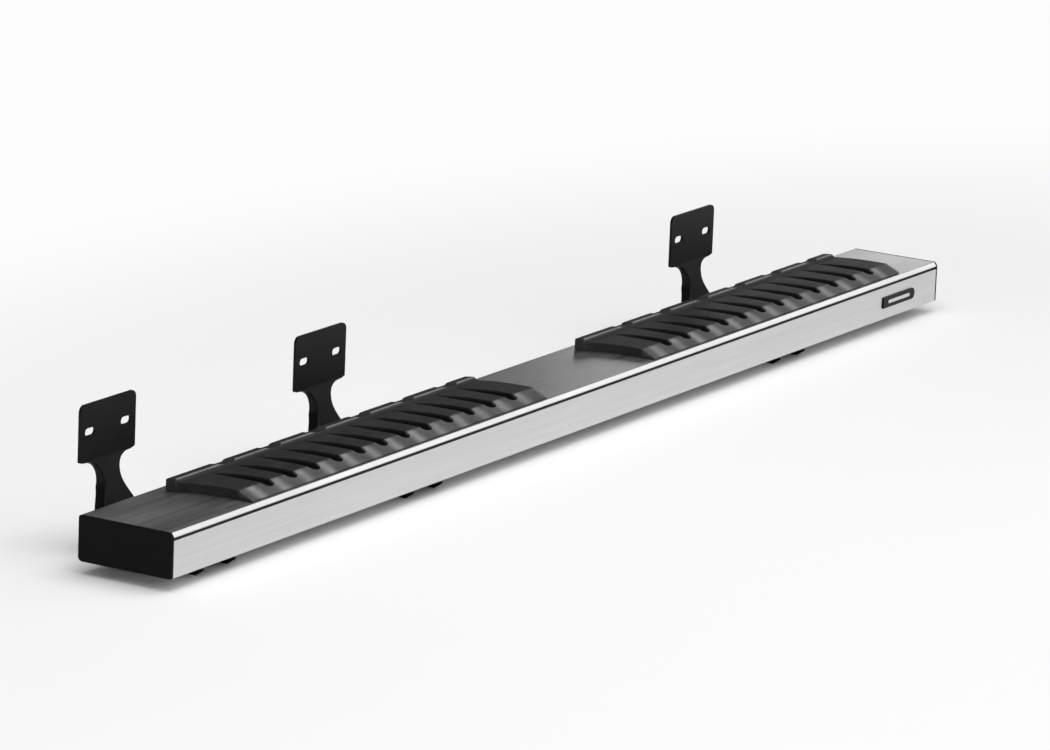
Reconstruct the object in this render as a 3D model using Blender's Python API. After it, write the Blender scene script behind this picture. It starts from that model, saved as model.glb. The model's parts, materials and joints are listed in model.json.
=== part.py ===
"""Truck side step: an extruded aluminium board with two moulded tread pads and end caps, bolted through its
underside slots to three waisted arms of pressed steel. X runs rearward, Y inboard towards the truck and Z up.
The origin is at the middle of the whole part, on the plane that the feet of the arms stand on. Metres."""

import math

import bmesh
import bpy

# Clearances
SEAT_GAP = 0.0003
FIT_GAP = 0.0004

# Board section
BOARD_LENGTH = 2.160
BOARD_WIDTH = 0.152
BOARD_HEIGHT = 0.064
BOARD_WALL = 0.0026
BOARD_WEB = 0.0022
BEVEL_WIDTH = 0.004
BEVEL_DROP = 0.006
EDGE_RADIUS = 0.003
BELLY_RADIUS = 0.007
INNER_RADIUS = 0.0015
LINE_DROP = 0.0068
LINE_HEIGHT = 0.0042
LINE_DEPTH = 0.0024
LINE_DRAFT = 0.0003

# Slots along the underside of the board
SLOT_INSET = 0.036
SLOT_MOUTH = 0.0096
SLOT_CHANNEL = 0.0200
SLOT_DEPTH = 0.0072
SLOT_LIP = 0.0030

# End caps
CAP_THICKNESS = 0.0045
CAP_EDGE = 0.0012
SPIGOT_DEPTH = 0.024
SPIGOT_WALL = 0.0022
CAP_SCREW_TO_HOUSING = 0.0104
CAP_SCREW_INSET = 0.013
CAP_SCREW_RADIUS = 0.0020
CAP_SCREW_POINT_RADIUS = 0.0008
CAP_SCREW_HEAD_RADIUS = 0.0038
CAP_SCREW_FACE_RADIUS = 0.0023
CAP_SCREW_HEAD_HEIGHT = 0.0026
CAP_SCREW_HEAD_EDGE = 0.0008
CAP_SCREW_LENGTH = 0.0100

# Tread pads
PAD_LENGTH = 0.765
PAD_START = 0.205
PAD_STEP = 1.076
PAD_OUTBOARD_MARGIN = 0.0075
PAD_INBOARD_MARGIN = 0.020
PAD_RIM = 0.0025
PAD_EDGE = 0.0015
NOSE_WIDTH = 0.025
TREAD_HEIGHT_OUTBOARD = 0.0120
TREAD_HEIGHT_INBOARD = 0.0135
TOE_LIP_RAMP = 0.004
TOE_LIP_WIDTH = 0.012
TOE_LIP_HEIGHT = 0.0180
TOE_LIP_LOW_HEIGHT = 0.0156
TOE_LIP_LOW_LENGTH = 0.040
TOE_LIP_STEP = 0.0025
GROOVE_PITCH = 0.0575
GROOVE_END_ROOM = 0.055
GROOVE_HALF_WIDTH = 0.0115
GROOVE_TIP_HALF_WIDTH = 0.0005
GROOVE_DRAFT = 0.0018
GROOVE_FLOOR = 0.0045
GROOVE_NOSE_MARGIN = 0.0135
GROOVE_TOE_MARGIN = 0.003
GROOVE_ROUND = 0.009
GROOVE_TAPER = 3.6
GROOVE_RISE = 0.012
CRESCENT_RADIUS = 0.160
CRESCENT_CENTRE = 0.040
PEG_COUNT = 3
PEG_INSET = 0.110
PEG_ROW_SPACING = 0.046
PEG_RADIUS = 0.0040
PEG_BARB = 0.0012
PEG_BARB_LENGTH = 0.0060

# Plate on the outboard face
BADGE_LENGTH = 0.104
BADGE_HEIGHT = 0.018
BADGE_THICKNESS = 0.0018
BADGE_TO_REAR_END = 0.078
BADGE_CORNER = 0.0015
BADGE_BAR_LENGTH = 0.070
BADGE_BAR_HEIGHT = 0.0056
BADGE_BAR_SINK = 0.0010

# Arms
ARM_PLACES = (0.135, 0.660, 1.715)
ARM_NAMES = ("front", "middle", "rear")
ARM_SHEET = 0.004
ARM_FLANGE = 0.018
ARM_FOLD_RADIUS = 0.003
ARM_LEAN = math.radians(20)
ARM_BEND_RADIUS = 0.012
ARM_TOP_BEND_RADIUS = 0.010
ARM_GAP = 0.008
FOOT_WIDTH = 0.080
FOOT_PAST_SLOT = 0.022
FOOT_TIP_FLANGE = 0.010
FOOT_TIP_LENGTH = 0.012
FOOT_HOLE_LENGTH = 0.018
WAIST_WIDTH = 0.040
WAIST_ABOVE_BOARD = 0.020
LOWER_FLARE_LENGTH = 0.052
UPPER_FLARE_RADIUS = 0.028
PLATE_WIDTH = 0.130
PLATE_HEIGHT = 0.078
PLATE_CORNER = 0.010
PLATE_SLOT_SPACING = 0.084
PLATE_SLOT_LENGTH = 0.024
PLATE_SLOT_HEIGHT = 0.011

# Fasteners under the board
BOLT_RADIUS = 0.0040
BOLT_HEAD_LENGTH = 0.0190
BOLT_HEAD_WIDTH = 0.0090
BOLT_HEAD_HEIGHT = 0.0048
BOLT_END_CHAMFER = 0.0008
BOLT_PAST_NUT = 0.0015
BOLT_HOLE_RADIUS = 0.0046
WASHER_RADIUS = 0.0090
WASHER_THICKNESS = 0.0016
NUT_ACROSS_FLATS = 0.013
NUT_FLANGE_RADIUS = 0.0086
NUT_FLANGE_HEIGHT = 0.0016
NUT_HEIGHT = 0.0076

# Facets
ARC_STEP = math.radians(30)
ROUND_SIDES = 16
PEG_SIDES = 10
ROUND_ROWS = 3
TREAD_ROWS = 7
FLARE_ROWS = 6
CORNER_ROWS = 3
WELD = 1e-6

# Places worked out from the sizes above
BOARD_BOTTOM = ARM_FLANGE + SEAT_GAP
BOARD_TOP = BOARD_BOTTOM + BOARD_HEIGHT
FRONT_END = -BOARD_LENGTH / 2
SECTION_LENGTH = BOARD_LENGTH - 2 * (CAP_THICKNESS + SEAT_GAP)
SLOT_ROOF = SLOT_LIP + SLOT_DEPTH
SLOT_SPACING = BOARD_WIDTH - 2 * SLOT_INSET
PAD_WIDTH = BOARD_WIDTH - PAD_OUTBOARD_MARGIN - PAD_INBOARD_MARGIN
GROOVE_COUNT = 1 + int((PAD_LENGTH - 2 * GROOVE_END_ROOM) / GROOVE_PITCH)

# Materials: colour, metallic, roughness
FINISHES = {
    "brushed_aluminium": ((0.52, 0.52, 0.53), 1.0, 0.34),
    "tread_plastic": ((0.030, 0.030, 0.032), 0.0, 0.58),
    "cap_plastic": ((0.013, 0.013, 0.014), 0.0, 0.50),
    "powder_coat": ((0.016, 0.016, 0.017), 0.0, 0.42),
    "zinc_plate": ((0.56, 0.56, 0.54), 1.0, 0.38),
    "black_zinc": ((0.030, 0.030, 0.032), 0.8, 0.40),
    "gloss_black": ((0.008, 0.008, 0.009), 0.0, 0.18),
    "satin_silver": ((0.66, 0.66, 0.67), 1.0, 0.25),
}


def clear_scene():
    for old in list(bpy.data.objects):
        bpy.data.objects.remove(old, do_unlink=True)


def finish(name):
    """The material of this name, made once."""
    known = bpy.data.materials.get(name)
    if known:
        return known
    colour, metallic, roughness = FINISHES[name]
    material = bpy.data.materials.new(name)
    material.use_nodes = True
    shader = material.node_tree.nodes["Principled BSDF"]
    shader.inputs["Base Color"].default_value = (*colour, 1.0)
    shader.inputs["Metallic"].default_value = metallic
    shader.inputs["Roughness"].default_value = roughness
    material.diffuse_color = (*colour, 1.0)
    return material


def frame_at(name, x, y, z):
    """An empty that carries the pieces of one sub-assembly."""
    empty = bpy.data.objects.new(name, None)
    empty.location = (x, y, z)
    bpy.context.scene.collection.objects.link(empty)
    return empty


def add_piece(name, bm, material, parent, place=(0.0, 0.0, 0.0), smooth=35):
    """A closed mesh as a named object, its faces pointing out."""
    bmesh.ops.remove_doubles(bm, verts=bm.verts, dist=WELD)
    bmesh.ops.recalc_face_normals(bm, faces=bm.faces)
    mesh = bpy.data.meshes.new(name)
    bm.to_mesh(mesh)
    bm.free()
    mesh.shade_smooth()
    mesh.set_sharp_from_angle(angle=math.radians(smooth))
    mesh.materials.append(finish(material))
    piece = bpy.data.objects.new(name, mesh)
    piece.location = place
    piece.parent = parent
    bpy.context.scene.collection.objects.link(piece)
    return piece


def combine(piece, name, bm, operation, place=(0.0, 0.0, 0.0)):
    """Joins another closed mesh to the piece, or cuts it out of it."""
    tool = add_piece(name, bm, piece.data.materials[0].name, piece.parent, place)
    tool.hide_render = True
    tool.display_type = "WIRE"
    modifier = piece.modifiers.new(name, "BOOLEAN")
    modifier.operation = operation
    modifier.object = tool
    modifier.solver = "EXACT"


# Outlines, as lists of corners: two coordinates and the radius of the corner


def corner_turn(before, here, after):
    """How far an outline turns at a corner, positive to the left."""
    incoming = math.atan2(here[1] - before[1], here[0] - before[0])
    outgoing = math.atan2(after[1] - here[1], after[0] - here[0])
    return (outgoing - incoming + math.pi) % (2 * math.pi) - math.pi


def rounded(corners):
    """The outline through these corners, with an arc at each one that has a radius."""
    outline = []
    for i, here in enumerate(corners):
        before, after = corners[i - 1], corners[(i + 1) % len(corners)]
        turn = corner_turn(before, here, after)
        radius = here[2]
        if radius <= 0 or abs(turn) < 1e-6:
            outline.append((here[0], here[1]))
            continue
        incoming = math.atan2(here[1] - before[1], here[0] - before[0])
        back = radius * math.tan(abs(turn) / 2)
        side = math.copysign(1, turn)
        start = (here[0] - back * math.cos(incoming), here[1] - back * math.sin(incoming))
        centre = (start[0] - side * radius * math.sin(incoming),
                  start[1] + side * radius * math.cos(incoming))
        steps = max(1, math.ceil(abs(turn) / ARC_STEP - 1e-6))
        for k in range(steps + 1):
            heading = incoming + turn * k / steps
            outline.append((centre[0] + side * radius * math.sin(heading),
                            centre[1] - side * radius * math.cos(heading)))
    return outline


def inset(corners, distance):
    """The corners moved inward by a distance, for an outline that runs anticlockwise."""
    moved = []
    for i, here in enumerate(corners):
        before, after = corners[i - 1], corners[(i + 1) % len(corners)]
        turn = corner_turn(before, here, after)
        middle = math.atan2(here[1] - before[1], here[0] - before[0]) + turn / 2
        reach = distance / math.cos(turn / 2)
        radius = here[2] - math.copysign(distance, turn) if here[2] > 0 else 0
        moved.append((here[0] - reach * math.sin(middle), here[1] + reach * math.cos(middle), max(radius, 0)))
    return moved


def box_corners(low, high):
    """A rectangle between two corner points, with sharp corners."""
    return [(low[0], low[1], 0.0), (high[0], low[1], 0.0), (high[0], high[1], 0.0), (low[0], high[1], 0.0)]


def obround(centre, length, height):
    """An outline with straight sides and half-round ends."""
    half = (length - height) / 2
    outline = []
    for end in (1, -1):
        for k in range(int(math.pi / ARC_STEP) + 1):
            angle = -math.pi / 2 + k * ARC_STEP + (0 if end > 0 else math.pi)
            outline.append((centre[0] + end * half + height / 2 * math.cos(angle),
                            centre[1] + height / 2 * math.sin(angle)))
    return outline


# Solids


def along_x(a, b, depth):
    return (depth, a, b)


def along_y(a, b, depth):
    return (a, depth, b)


def along_z(a, b, depth):
    return (a, b, depth)


def prism(outline, holes, start, end, axis, bm=None):
    """A straight bar of this outline, with its holes running right through."""
    bm = bm or bmesh.new()
    caps = {start: [], end: []}
    for loop in [outline, *holes]:
        rings = {depth: [bm.verts.new(axis(a, b, depth)) for a, b in loop] for depth in (start, end)}
        for i in range(len(loop)):
            j = (i + 1) % len(loop)
            bm.faces.new((rings[start][i], rings[start][j], rings[end][j], rings[end][i]))
        for depth, ring in rings.items():
            caps[depth] += [bm.edges.get((ring[i], ring[i - 1])) for i in range(len(ring))]
    for edges in caps.values():
        bmesh.ops.triangle_fill(bm, use_beauty=True, use_dissolve=False, edges=edges)
    return bm


def loft(sections, bm=None):
    """A skin over rings of points that all have the same count, closed at both ends."""
    bm = bm or bmesh.new()
    rings = [[bm.verts.new(point) for point in section] for section in sections]
    for lower, upper in zip(rings, rings[1:]):
        for i in range(len(lower)):
            j = (i + 1) % len(lower)
            bm.faces.new((lower[i], lower[j], upper[j], upper[i]))
    bm.faces.new(rings[0])
    bm.faces.new(rings[-1])
    return bm


def ring_points(radius, height, sides=ROUND_SIDES):
    return [(radius * math.cos(2 * math.pi * k / sides), radius * math.sin(2 * math.pi * k / sides), height)
            for k in range(sides)]


def turned(profile, sides=ROUND_SIDES, place=(0.0, 0.0, 0.0), bm=None):
    """A solid of revolution about Z from radius and height pairs, closed by flat ends."""
    sections = [[(x + place[0], y + place[1], z + place[2]) for x, y, z in ring_points(radius, height, sides)]
                for radius, height in profile]
    return loft(sections, bm)


def turned_ring(sections):
    """A ring with a hole through it: the last section joins on to the first."""
    bm = bmesh.new()
    rings = [[bm.verts.new(point) for point in section] for section in sections]
    for k, lower in enumerate(rings):
        upper = rings[(k + 1) % len(rings)]
        for i in range(len(lower)):
            j = (i + 1) % len(lower)
            bm.faces.new((lower[i], lower[j], upper[j], upper[i]))
    return bm


# The board: Y and Z of its section are counted from the middle of its underside


def envelope_corners():
    """The outside of the section without its slots and groove, as the end caps follow it."""
    half = BOARD_WIDTH / 2
    return [
        (-half, 0.0, EDGE_RADIUS),
        (half, 0.0, BELLY_RADIUS),
        (half, BOARD_HEIGHT, EDGE_RADIUS),
        (-half + BEVEL_WIDTH, BOARD_HEIGHT, INNER_RADIUS),
        (-half, BOARD_HEIGHT - BEVEL_DROP, INNER_RADIUS),
    ]


def slot_corners(middle):
    """One underside slot: in through its mouth, round its channel and out again."""
    mouth, channel = SLOT_MOUTH / 2, SLOT_CHANNEL / 2
    return [
        (middle - mouth, 0.0, 0.0),
        (middle - mouth, SLOT_LIP, 0.0),
        (middle - channel, SLOT_LIP, 0.0),
        (middle - channel, SLOT_ROOF, 0.0),
        (middle + channel, SLOT_ROOF, 0.0),
        (middle + channel, SLOT_LIP, 0.0),
        (middle + mouth, SLOT_LIP, 0.0),
        (middle + mouth, 0.0, 0.0),
    ]


def section_corners():
    """The outside of the section with its slots, its bevel and the groove under the bevel."""
    half = BOARD_WIDTH / 2
    low_outboard, low_inboard, top_inboard, top_bevel, low_bevel = envelope_corners()
    line_top = BOARD_HEIGHT - LINE_DROP
    return [
        low_outboard,
        *slot_corners(-SLOT_SPACING / 2),
        *slot_corners(SLOT_SPACING / 2),
        low_inboard,
        top_inboard,
        top_bevel,
        low_bevel,
        (-half, line_top, 0.0),
        (-half + LINE_DEPTH, line_top - LINE_DRAFT, 0.0),
        (-half + LINE_DEPTH, line_top - LINE_HEIGHT + LINE_DRAFT, 0.0),
        (-half, line_top - LINE_HEIGHT, 0.0),
    ]


def side_chamber(outboard):
    """One of the two outer hollows, between the side wall, the slot housing and the web over it."""
    side = BOARD_WIDTH / 2 - BOARD_WALL
    housing = SLOT_SPACING / 2 + SLOT_CHANNEL / 2 + BOARD_WALL
    web = SLOT_SPACING / 2 + BOARD_WEB / 2
    roof = SLOT_ROOF + BOARD_WALL
    ceiling = BOARD_HEIGHT - BOARD_WALL
    if not outboard:
        return [
            (housing, BOARD_WALL, INNER_RADIUS),
            (side, BOARD_WALL, BELLY_RADIUS - BOARD_WALL),
            (side, ceiling, INNER_RADIUS),
            (web, ceiling, INNER_RADIUS),
            (web, roof, INNER_RADIUS),
            (housing, roof, INNER_RADIUS),
        ]
    line_bottom = BOARD_HEIGHT - LINE_DROP - LINE_HEIGHT
    return [
        (-side, BOARD_WALL, INNER_RADIUS),
        (-housing, BOARD_WALL, INNER_RADIUS),
        (-housing, roof, INNER_RADIUS),
        (-web, roof, INNER_RADIUS),
        (-web, ceiling, INNER_RADIUS),
        (-side + BEVEL_WIDTH, ceiling, 0.0),
        (-side + LINE_DEPTH, BOARD_HEIGHT - BEVEL_DROP, 0.0),
        (-side + LINE_DEPTH, line_bottom - LINE_DEPTH, 0.0),
        (-side, line_bottom - 2 * LINE_DEPTH, 0.0),
    ]


def middle_chamber():
    """The wide hollow between the two webs, narrower at its floor between the slot housings."""
    housing = SLOT_SPACING / 2 - SLOT_CHANNEL / 2 - BOARD_WALL
    web = SLOT_SPACING / 2 - BOARD_WEB / 2
    roof = SLOT_ROOF + BOARD_WALL
    ceiling = BOARD_HEIGHT - BOARD_WALL
    return [
        (-housing, BOARD_WALL, INNER_RADIUS),
        (housing, BOARD_WALL, INNER_RADIUS),
        (housing, roof, INNER_RADIUS),
        (web, roof, INNER_RADIUS),
        (web, ceiling, INNER_RADIUS),
        (-web, ceiling, INNER_RADIUS),
        (-web, roof, INNER_RADIUS),
        (-housing, roof, INNER_RADIUS),
    ]


def peg_places():
    """Where the pegs of both pads pass through the board's top: X from its front end, Y from its middle."""
    row_middle = PAD_OUTBOARD_MARGIN + PAD_WIDTH / 2 - BOARD_WIDTH / 2
    step = (PAD_LENGTH - 2 * PEG_INSET) / (PEG_COUNT - 1)
    return [[(PAD_START + pad * PAD_STEP + PEG_INSET + k * step, row_middle + side * PEG_ROW_SPACING / 2)
             for k in range(PEG_COUNT) for side in (-1, 1)] for pad in (0, 1)]


def cap_screw_places():
    """The end cap screws of one end: inset from the end, and Y from the middle of the board."""
    housing = SLOT_SPACING / 2 - SLOT_CHANNEL / 2 - BOARD_WALL
    return [(CAP_SCREW_INSET, side * (housing - CAP_SCREW_TO_HOUSING)) for side in (-1, 1)]


def build_board(parent):
    """The hollow section, with the peg holes in its top and the screw holes in its floor."""
    half = SECTION_LENGTH / 2
    chambers = [side_chamber(True), middle_chamber(), side_chamber(False)]
    bm = prism(rounded(section_corners()), [rounded(chamber) for chamber in chambers], -half, half, along_x)
    board = add_piece("board_extrusion", bm, "brushed_aluminium", parent)
    holes = bmesh.new()
    for places in peg_places():
        for x, y in places:
            low, high = BOARD_HEIGHT - 2 * BOARD_WALL, BOARD_HEIGHT + BOARD_WALL
            hole = [(PEG_RADIUS + SEAT_GAP, z) for z in (low, high)]
            turned(hole, PEG_SIDES, (FRONT_END + x, y, 0.0), holes)
    for end in (-1, 1):
        for inward, y in cap_screw_places():
            hole = [(CAP_SCREW_RADIUS + FIT_GAP, z) for z in (-BOARD_WALL, 2 * BOARD_WALL)]
            turned(hole, PEG_SIDES, (end * (BOARD_LENGTH / 2 - inward), y, 0.0), holes)
    combine(board, "board_holes", holes, "DIFFERENCE")


# End caps


def build_cap(name, end, parent):
    """A flush end plate with three spigots in the hollows of the section; end is -1 in front, 1 behind."""
    outer = end * BOARD_LENGTH / 2
    inner = end * (BOARD_LENGTH / 2 - CAP_THICKNESS)
    depth = end * (BOARD_LENGTH / 2 - CAP_THICKNESS - SPIGOT_DEPTH)
    face = [along_x(a, b, outer) for a, b in rounded(inset(envelope_corners(), CAP_EDGE))]
    rim = [along_x(a, b, outer - end * CAP_EDGE) for a, b in rounded(envelope_corners())]
    back = [along_x(a, b, inner) for a, b in rounded(envelope_corners())]
    cap = add_piece(name, loft([face, rim, back]), "cap_plastic", parent)
    web = SLOT_SPACING / 2 - BOARD_WEB / 2 - FIT_GAP - SPIGOT_WALL
    well = box_corners((-web, SLOT_ROOF + BOARD_WALL + FIT_GAP + SPIGOT_WALL),
                       (web, BOARD_HEIGHT - BOARD_WALL - FIT_GAP - SPIGOT_WALL))
    spigots = [
        (inset(side_chamber(True), FIT_GAP), inset(side_chamber(True), FIT_GAP + SPIGOT_WALL)),
        (inset(middle_chamber(), FIT_GAP), well),
        (inset(side_chamber(False), FIT_GAP), inset(side_chamber(False), FIT_GAP + SPIGOT_WALL)),
    ]
    walls = bmesh.new()
    for outside, inside in spigots:
        prism(rounded(outside), [rounded(inside)], (outer + inner) / 2, depth, along_x, walls)
    combine(cap, name + "_spigots", walls, "UNION")
    pilots = bmesh.new()
    for inward, y in cap_screw_places():
        place = (end * (BOARD_LENGTH / 2 - inward), y, BOARD_WALL)
        turned([(CAP_SCREW_RADIUS + FIT_GAP, -BOARD_WALL), (CAP_SCREW_RADIUS + FIT_GAP, CAP_SCREW_LENGTH)],
               PEG_SIDES, place, pilots)
    combine(cap, name + "_pilots", pilots, "DIFFERENCE")


def build_cap_screws(name, end, parent):
    """Two pan head screws that go up through the floor of the section into the cap."""
    seat = -SEAT_GAP
    face = seat - CAP_SCREW_HEAD_HEIGHT
    profile = [
        (CAP_SCREW_FACE_RADIUS, face),
        (CAP_SCREW_HEAD_RADIUS - CAP_SCREW_HEAD_EDGE / 2, face + CAP_SCREW_HEAD_EDGE),
        (CAP_SCREW_HEAD_RADIUS, seat - CAP_SCREW_HEAD_EDGE),
        (CAP_SCREW_HEAD_RADIUS, seat),
        (CAP_SCREW_RADIUS, seat),
        (CAP_SCREW_RADIUS, CAP_SCREW_LENGTH - CAP_SCREW_RADIUS),
        (CAP_SCREW_POINT_RADIUS, CAP_SCREW_LENGTH),
    ]
    for number, (inward, y) in enumerate(cap_screw_places(), 1):
        place = (end * (BOARD_LENGTH / 2 - inward), y, 0.0)
        add_piece(f"{name}_{number}", turned(profile, PEG_SIDES), "black_zinc", parent, place)


# Tread pads: along counts from the front end of the pad, across from the outboard face of the board


def crescent(across):
    """How far a crescent line lies forward of its rearmost point."""
    return math.sqrt(CRESCENT_RADIUS ** 2 - (across - CRESCENT_CENTRE) ** 2) - CRESCENT_RADIUS


def pad_edges():
    """Across: the outboard edge, the nose's top, the toe of the lip's ramp, the lip and the inboard edge."""
    inboard = BOARD_WIDTH - PAD_INBOARD_MARGIN
    lip = inboard - TOE_LIP_WIDTH
    return PAD_OUTBOARD_MARGIN, PAD_OUTBOARD_MARGIN + NOSE_WIDTH, lip - TOE_LIP_RAMP, lip, inboard


def groove_ends():
    """Across: the blunt outboard end and the inboard tip of every groove."""
    outboard, _, toe, _, _ = pad_edges()
    return outboard + GROOVE_NOSE_MARGIN, toe - GROOVE_TOE_MARGIN


def tread_height(across):
    """The height of the nose and of the tread behind it."""
    outboard, nose, toe, _, _ = pad_edges()
    if across < nose:
        return PAD_RIM + (TREAD_HEIGHT_OUTBOARD - PAD_RIM) * (across - outboard) / NOSE_WIDTH
    rise = TREAD_HEIGHT_INBOARD - TREAD_HEIGHT_OUTBOARD
    return TREAD_HEIGHT_OUTBOARD + rise * (across - nose) / (toe - nose)


def pad_rows():
    """The rows of the pad from its outboard edge to its inboard edge: across and height."""
    outboard, nose, toe, lip, inboard = pad_edges()
    blunt, tip = groove_ends()
    places = [outboard, blunt]
    for k in range(1, ROUND_ROWS + 1):
        places.append(blunt + GROOVE_ROUND * (1 - math.cos(math.pi / 2 * k / ROUND_ROWS)))
    places += [nose + (tip - nose) * k / TREAD_ROWS for k in range(TREAD_ROWS + 1)]
    rows = [(across, tread_height(across)) for across in (*places, toe)]
    rows += [(lip, TOE_LIP_HEIGHT), (inboard - PAD_EDGE, TOE_LIP_HEIGHT), (inboard, TOE_LIP_HEIGHT - PAD_EDGE)]
    return rows


def groove_shape(across):
    """Half the width and the depth of a groove: blunt and deep at its outboard end, fading out at its tip."""
    blunt, tip = groove_ends()
    if not blunt < across < tip:
        return GROOVE_TIP_HALF_WIDTH, 0.0
    rounding = min(1.0, (across - blunt) / GROOVE_ROUND)
    taper = max(0.0, (across - blunt - GROOVE_ROUND) / (tip - blunt - GROOVE_ROUND))
    swell = math.sqrt(1 - (1 - rounding) ** 2) * (1 - taper ** GROOVE_TAPER)
    half = GROOVE_TIP_HALF_WIDTH + (GROOVE_HALF_WIDTH - GROOVE_TIP_HALF_WIDTH) * swell
    return half, (tread_height(across) - GROOVE_FLOOR) * min(1.0, (tip - across) / GROOVE_RISE)


def pad_row_points(across, height):
    """One row along the pad, over its grooves or its stepped lip: place along it and height of each point."""
    half, depth = groove_shape(across)
    floor = max(half - GROOVE_DRAFT, half / 2)
    if height > TREAD_HEIGHT_INBOARD:
        half = TOE_LIP_LOW_LENGTH / 2
        floor = half - TOE_LIP_STEP
        depth = TOE_LIP_HEIGHT - TOE_LIP_LOW_HEIGHT
    first = (PAD_LENGTH - (GROOVE_COUNT - 1) * GROOVE_PITCH) / 2
    end_height = max(height - PAD_EDGE, PAD_RIM - PAD_EDGE / 2)
    points = [(0.0, end_height), (PAD_EDGE, height)]
    for k in range(GROOVE_COUNT):
        middle = first + k * GROOVE_PITCH
        steps_down = height <= TREAD_HEIGHT_INBOARD or k % 2 == 1
        low = height - depth * steps_down
        points += [(middle - half, height), (middle - floor, low)]
        points += [(middle + floor, low), (middle + half, height)]
    points += [(PAD_LENGTH - PAD_EDGE, height), (PAD_LENGTH, end_height)]
    return points


def build_pad(name, number, parent):
    """A wedge-shaped tread with crescent grooves, a toe lip and snap pegs on its underside."""
    start = FRONT_END + PAD_START + number * PAD_STEP
    base = BOARD_HEIGHT + SEAT_GAP
    bm = bmesh.new()
    rows = []
    for across, height in pad_rows():
        y = across - BOARD_WIDTH / 2
        rows.append([bm.verts.new((start + along + crescent(across), y, base + z))
                     for along, z in pad_row_points(across, height)])
    for near, far in zip(rows, rows[1:]):
        for i in range(len(near) - 1):
            bm.faces.new((near[i], near[i + 1], far[i + 1], far[i]))
    rim = rows[0] + [row[-1] for row in rows[1:-1]] + rows[-1][::-1] + [row[0] for row in rows[-2:0:-1]]
    foot = [bm.verts.new((vertex.co.x, vertex.co.y, base)) for vertex in rim]
    for i in range(len(rim)):
        j = (i + 1) % len(rim)
        bm.faces.new((rim[i], rim[j], foot[j], foot[i]))
    bm.faces.new(foot)
    pad = add_piece(name, bm, "tread_plastic", parent, smooth=28)
    pegs = bmesh.new()
    neck = BOARD_HEIGHT - BOARD_WALL - SEAT_GAP
    profile = [
        (PEG_RADIUS - PEG_BARB, neck - PEG_BARB_LENGTH),
        (PEG_RADIUS + PEG_BARB, neck - PEG_BARB),
        (PEG_RADIUS + PEG_BARB, neck),
        (PEG_RADIUS, neck),
        (PEG_RADIUS, base + PAD_RIM / 2),
    ]
    for x, y in peg_places()[number]:
        turned(profile, PEG_SIDES, (FRONT_END + x, y, 0.0), pegs)
    combine(pad, name + "_pegs", pegs, "UNION")


# Plate on the outboard face


def badge_outline(length, height, front_radius, middle):
    """A strip that is square at its front end and round at its rear end: X and Z."""
    half = height / 2
    front, rear = middle[0] - length / 2, middle[0] + length / 2 - half
    outline = rounded([(rear, middle[1] + half, 0.0), (front, middle[1] + half, front_radius),
                       (front, middle[1] - half, front_radius), (rear, middle[1] - half, 0.0)])
    steps = int(math.pi / ARC_STEP) * 2
    for k in range(1, steps):
        angle = -math.pi / 2 + math.pi * k / steps
        outline.append((rear + half * math.cos(angle), middle[1] + half * math.sin(angle)))
    return outline


def badge_middle():
    """The middle of the plate, on the flat of the outboard face: X and Z."""
    flat_top = BOARD_HEIGHT - LINE_DROP - LINE_HEIGHT
    return (BOARD_LENGTH / 2 - BADGE_TO_REAR_END - BADGE_LENGTH / 2, (flat_top + EDGE_RADIUS) / 2)


def build_badge(parent):
    """A plain black plate with a plain bar let into it, flush."""
    back = -BOARD_WIDTH / 2 - SEAT_GAP
    front = back - BADGE_THICKNESS
    middle = badge_middle()
    edge = BADGE_THICKNESS / 3
    rings = [
        (badge_outline(BADGE_LENGTH, BADGE_HEIGHT, BADGE_CORNER, middle), back),
        (badge_outline(BADGE_LENGTH, BADGE_HEIGHT, BADGE_CORNER, middle), front + edge),
        (badge_outline(BADGE_LENGTH - 2 * edge, BADGE_HEIGHT - 2 * edge, BADGE_CORNER - edge, middle), front),
    ]
    plate = add_piece("badge_plate", loft([[along_y(a, b, depth) for a, b in ring] for ring, depth in rings]),
                      "gloss_black", parent)
    pocket_floor = front + BADGE_BAR_SINK
    hole = badge_outline(BADGE_BAR_LENGTH + 2 * SEAT_GAP, BADGE_BAR_HEIGHT + 2 * SEAT_GAP, 0.0, middle)
    pocket = prism(hole, [], front - BADGE_THICKNESS, pocket_floor, along_y)
    combine(plate, "badge_pocket", pocket, "DIFFERENCE")
    bar = prism(badge_outline(BADGE_BAR_LENGTH, BADGE_BAR_HEIGHT, 0.0, middle), [],
                front, pocket_floor - SEAT_GAP, along_y)
    add_piece("badge_bar", bar, "satin_silver", parent)


# Arms: Y from the middle of the board, Z from the ground


def arm_path():
    """Named places on the path of the arm's board-side face: Y and Z."""
    slope = math.pi / 2 - ARM_LEAN
    foot_end = BOARD_WIDTH / 2 + ARM_GAP
    bend_start = foot_end - ARM_BEND_RADIUS * math.tan(slope / 2)
    rise_start = (bend_start + ARM_BEND_RADIUS * math.sin(slope),
                  ARM_FLANGE + ARM_BEND_RADIUS * (1 - math.cos(slope)))
    waist = (BOARD_TOP + WAIST_ABOVE_BOARD - rise_start[1]) / math.sin(slope)
    return slope, bend_start, rise_start, waist


def on_arm(distance):
    """The point of the sloping face this far above the lower bend."""
    slope, _, rise_start, _ = arm_path()
    return (rise_start[0] + distance * math.cos(slope), rise_start[1] + distance * math.sin(slope))


def top_bend(share):
    """The point and heading part-way round the small bend under the top plate."""
    slope, _, _, waist = arm_path()
    start = on_arm(waist + UPPER_FLARE_RADIUS)
    heading = slope + (math.pi / 2 - slope) * share
    point = (start[0] + ARM_TOP_BEND_RADIUS * (math.sin(heading) - math.sin(slope)),
             start[1] + ARM_TOP_BEND_RADIUS * (math.cos(slope) - math.cos(heading)))
    return point, heading


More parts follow.
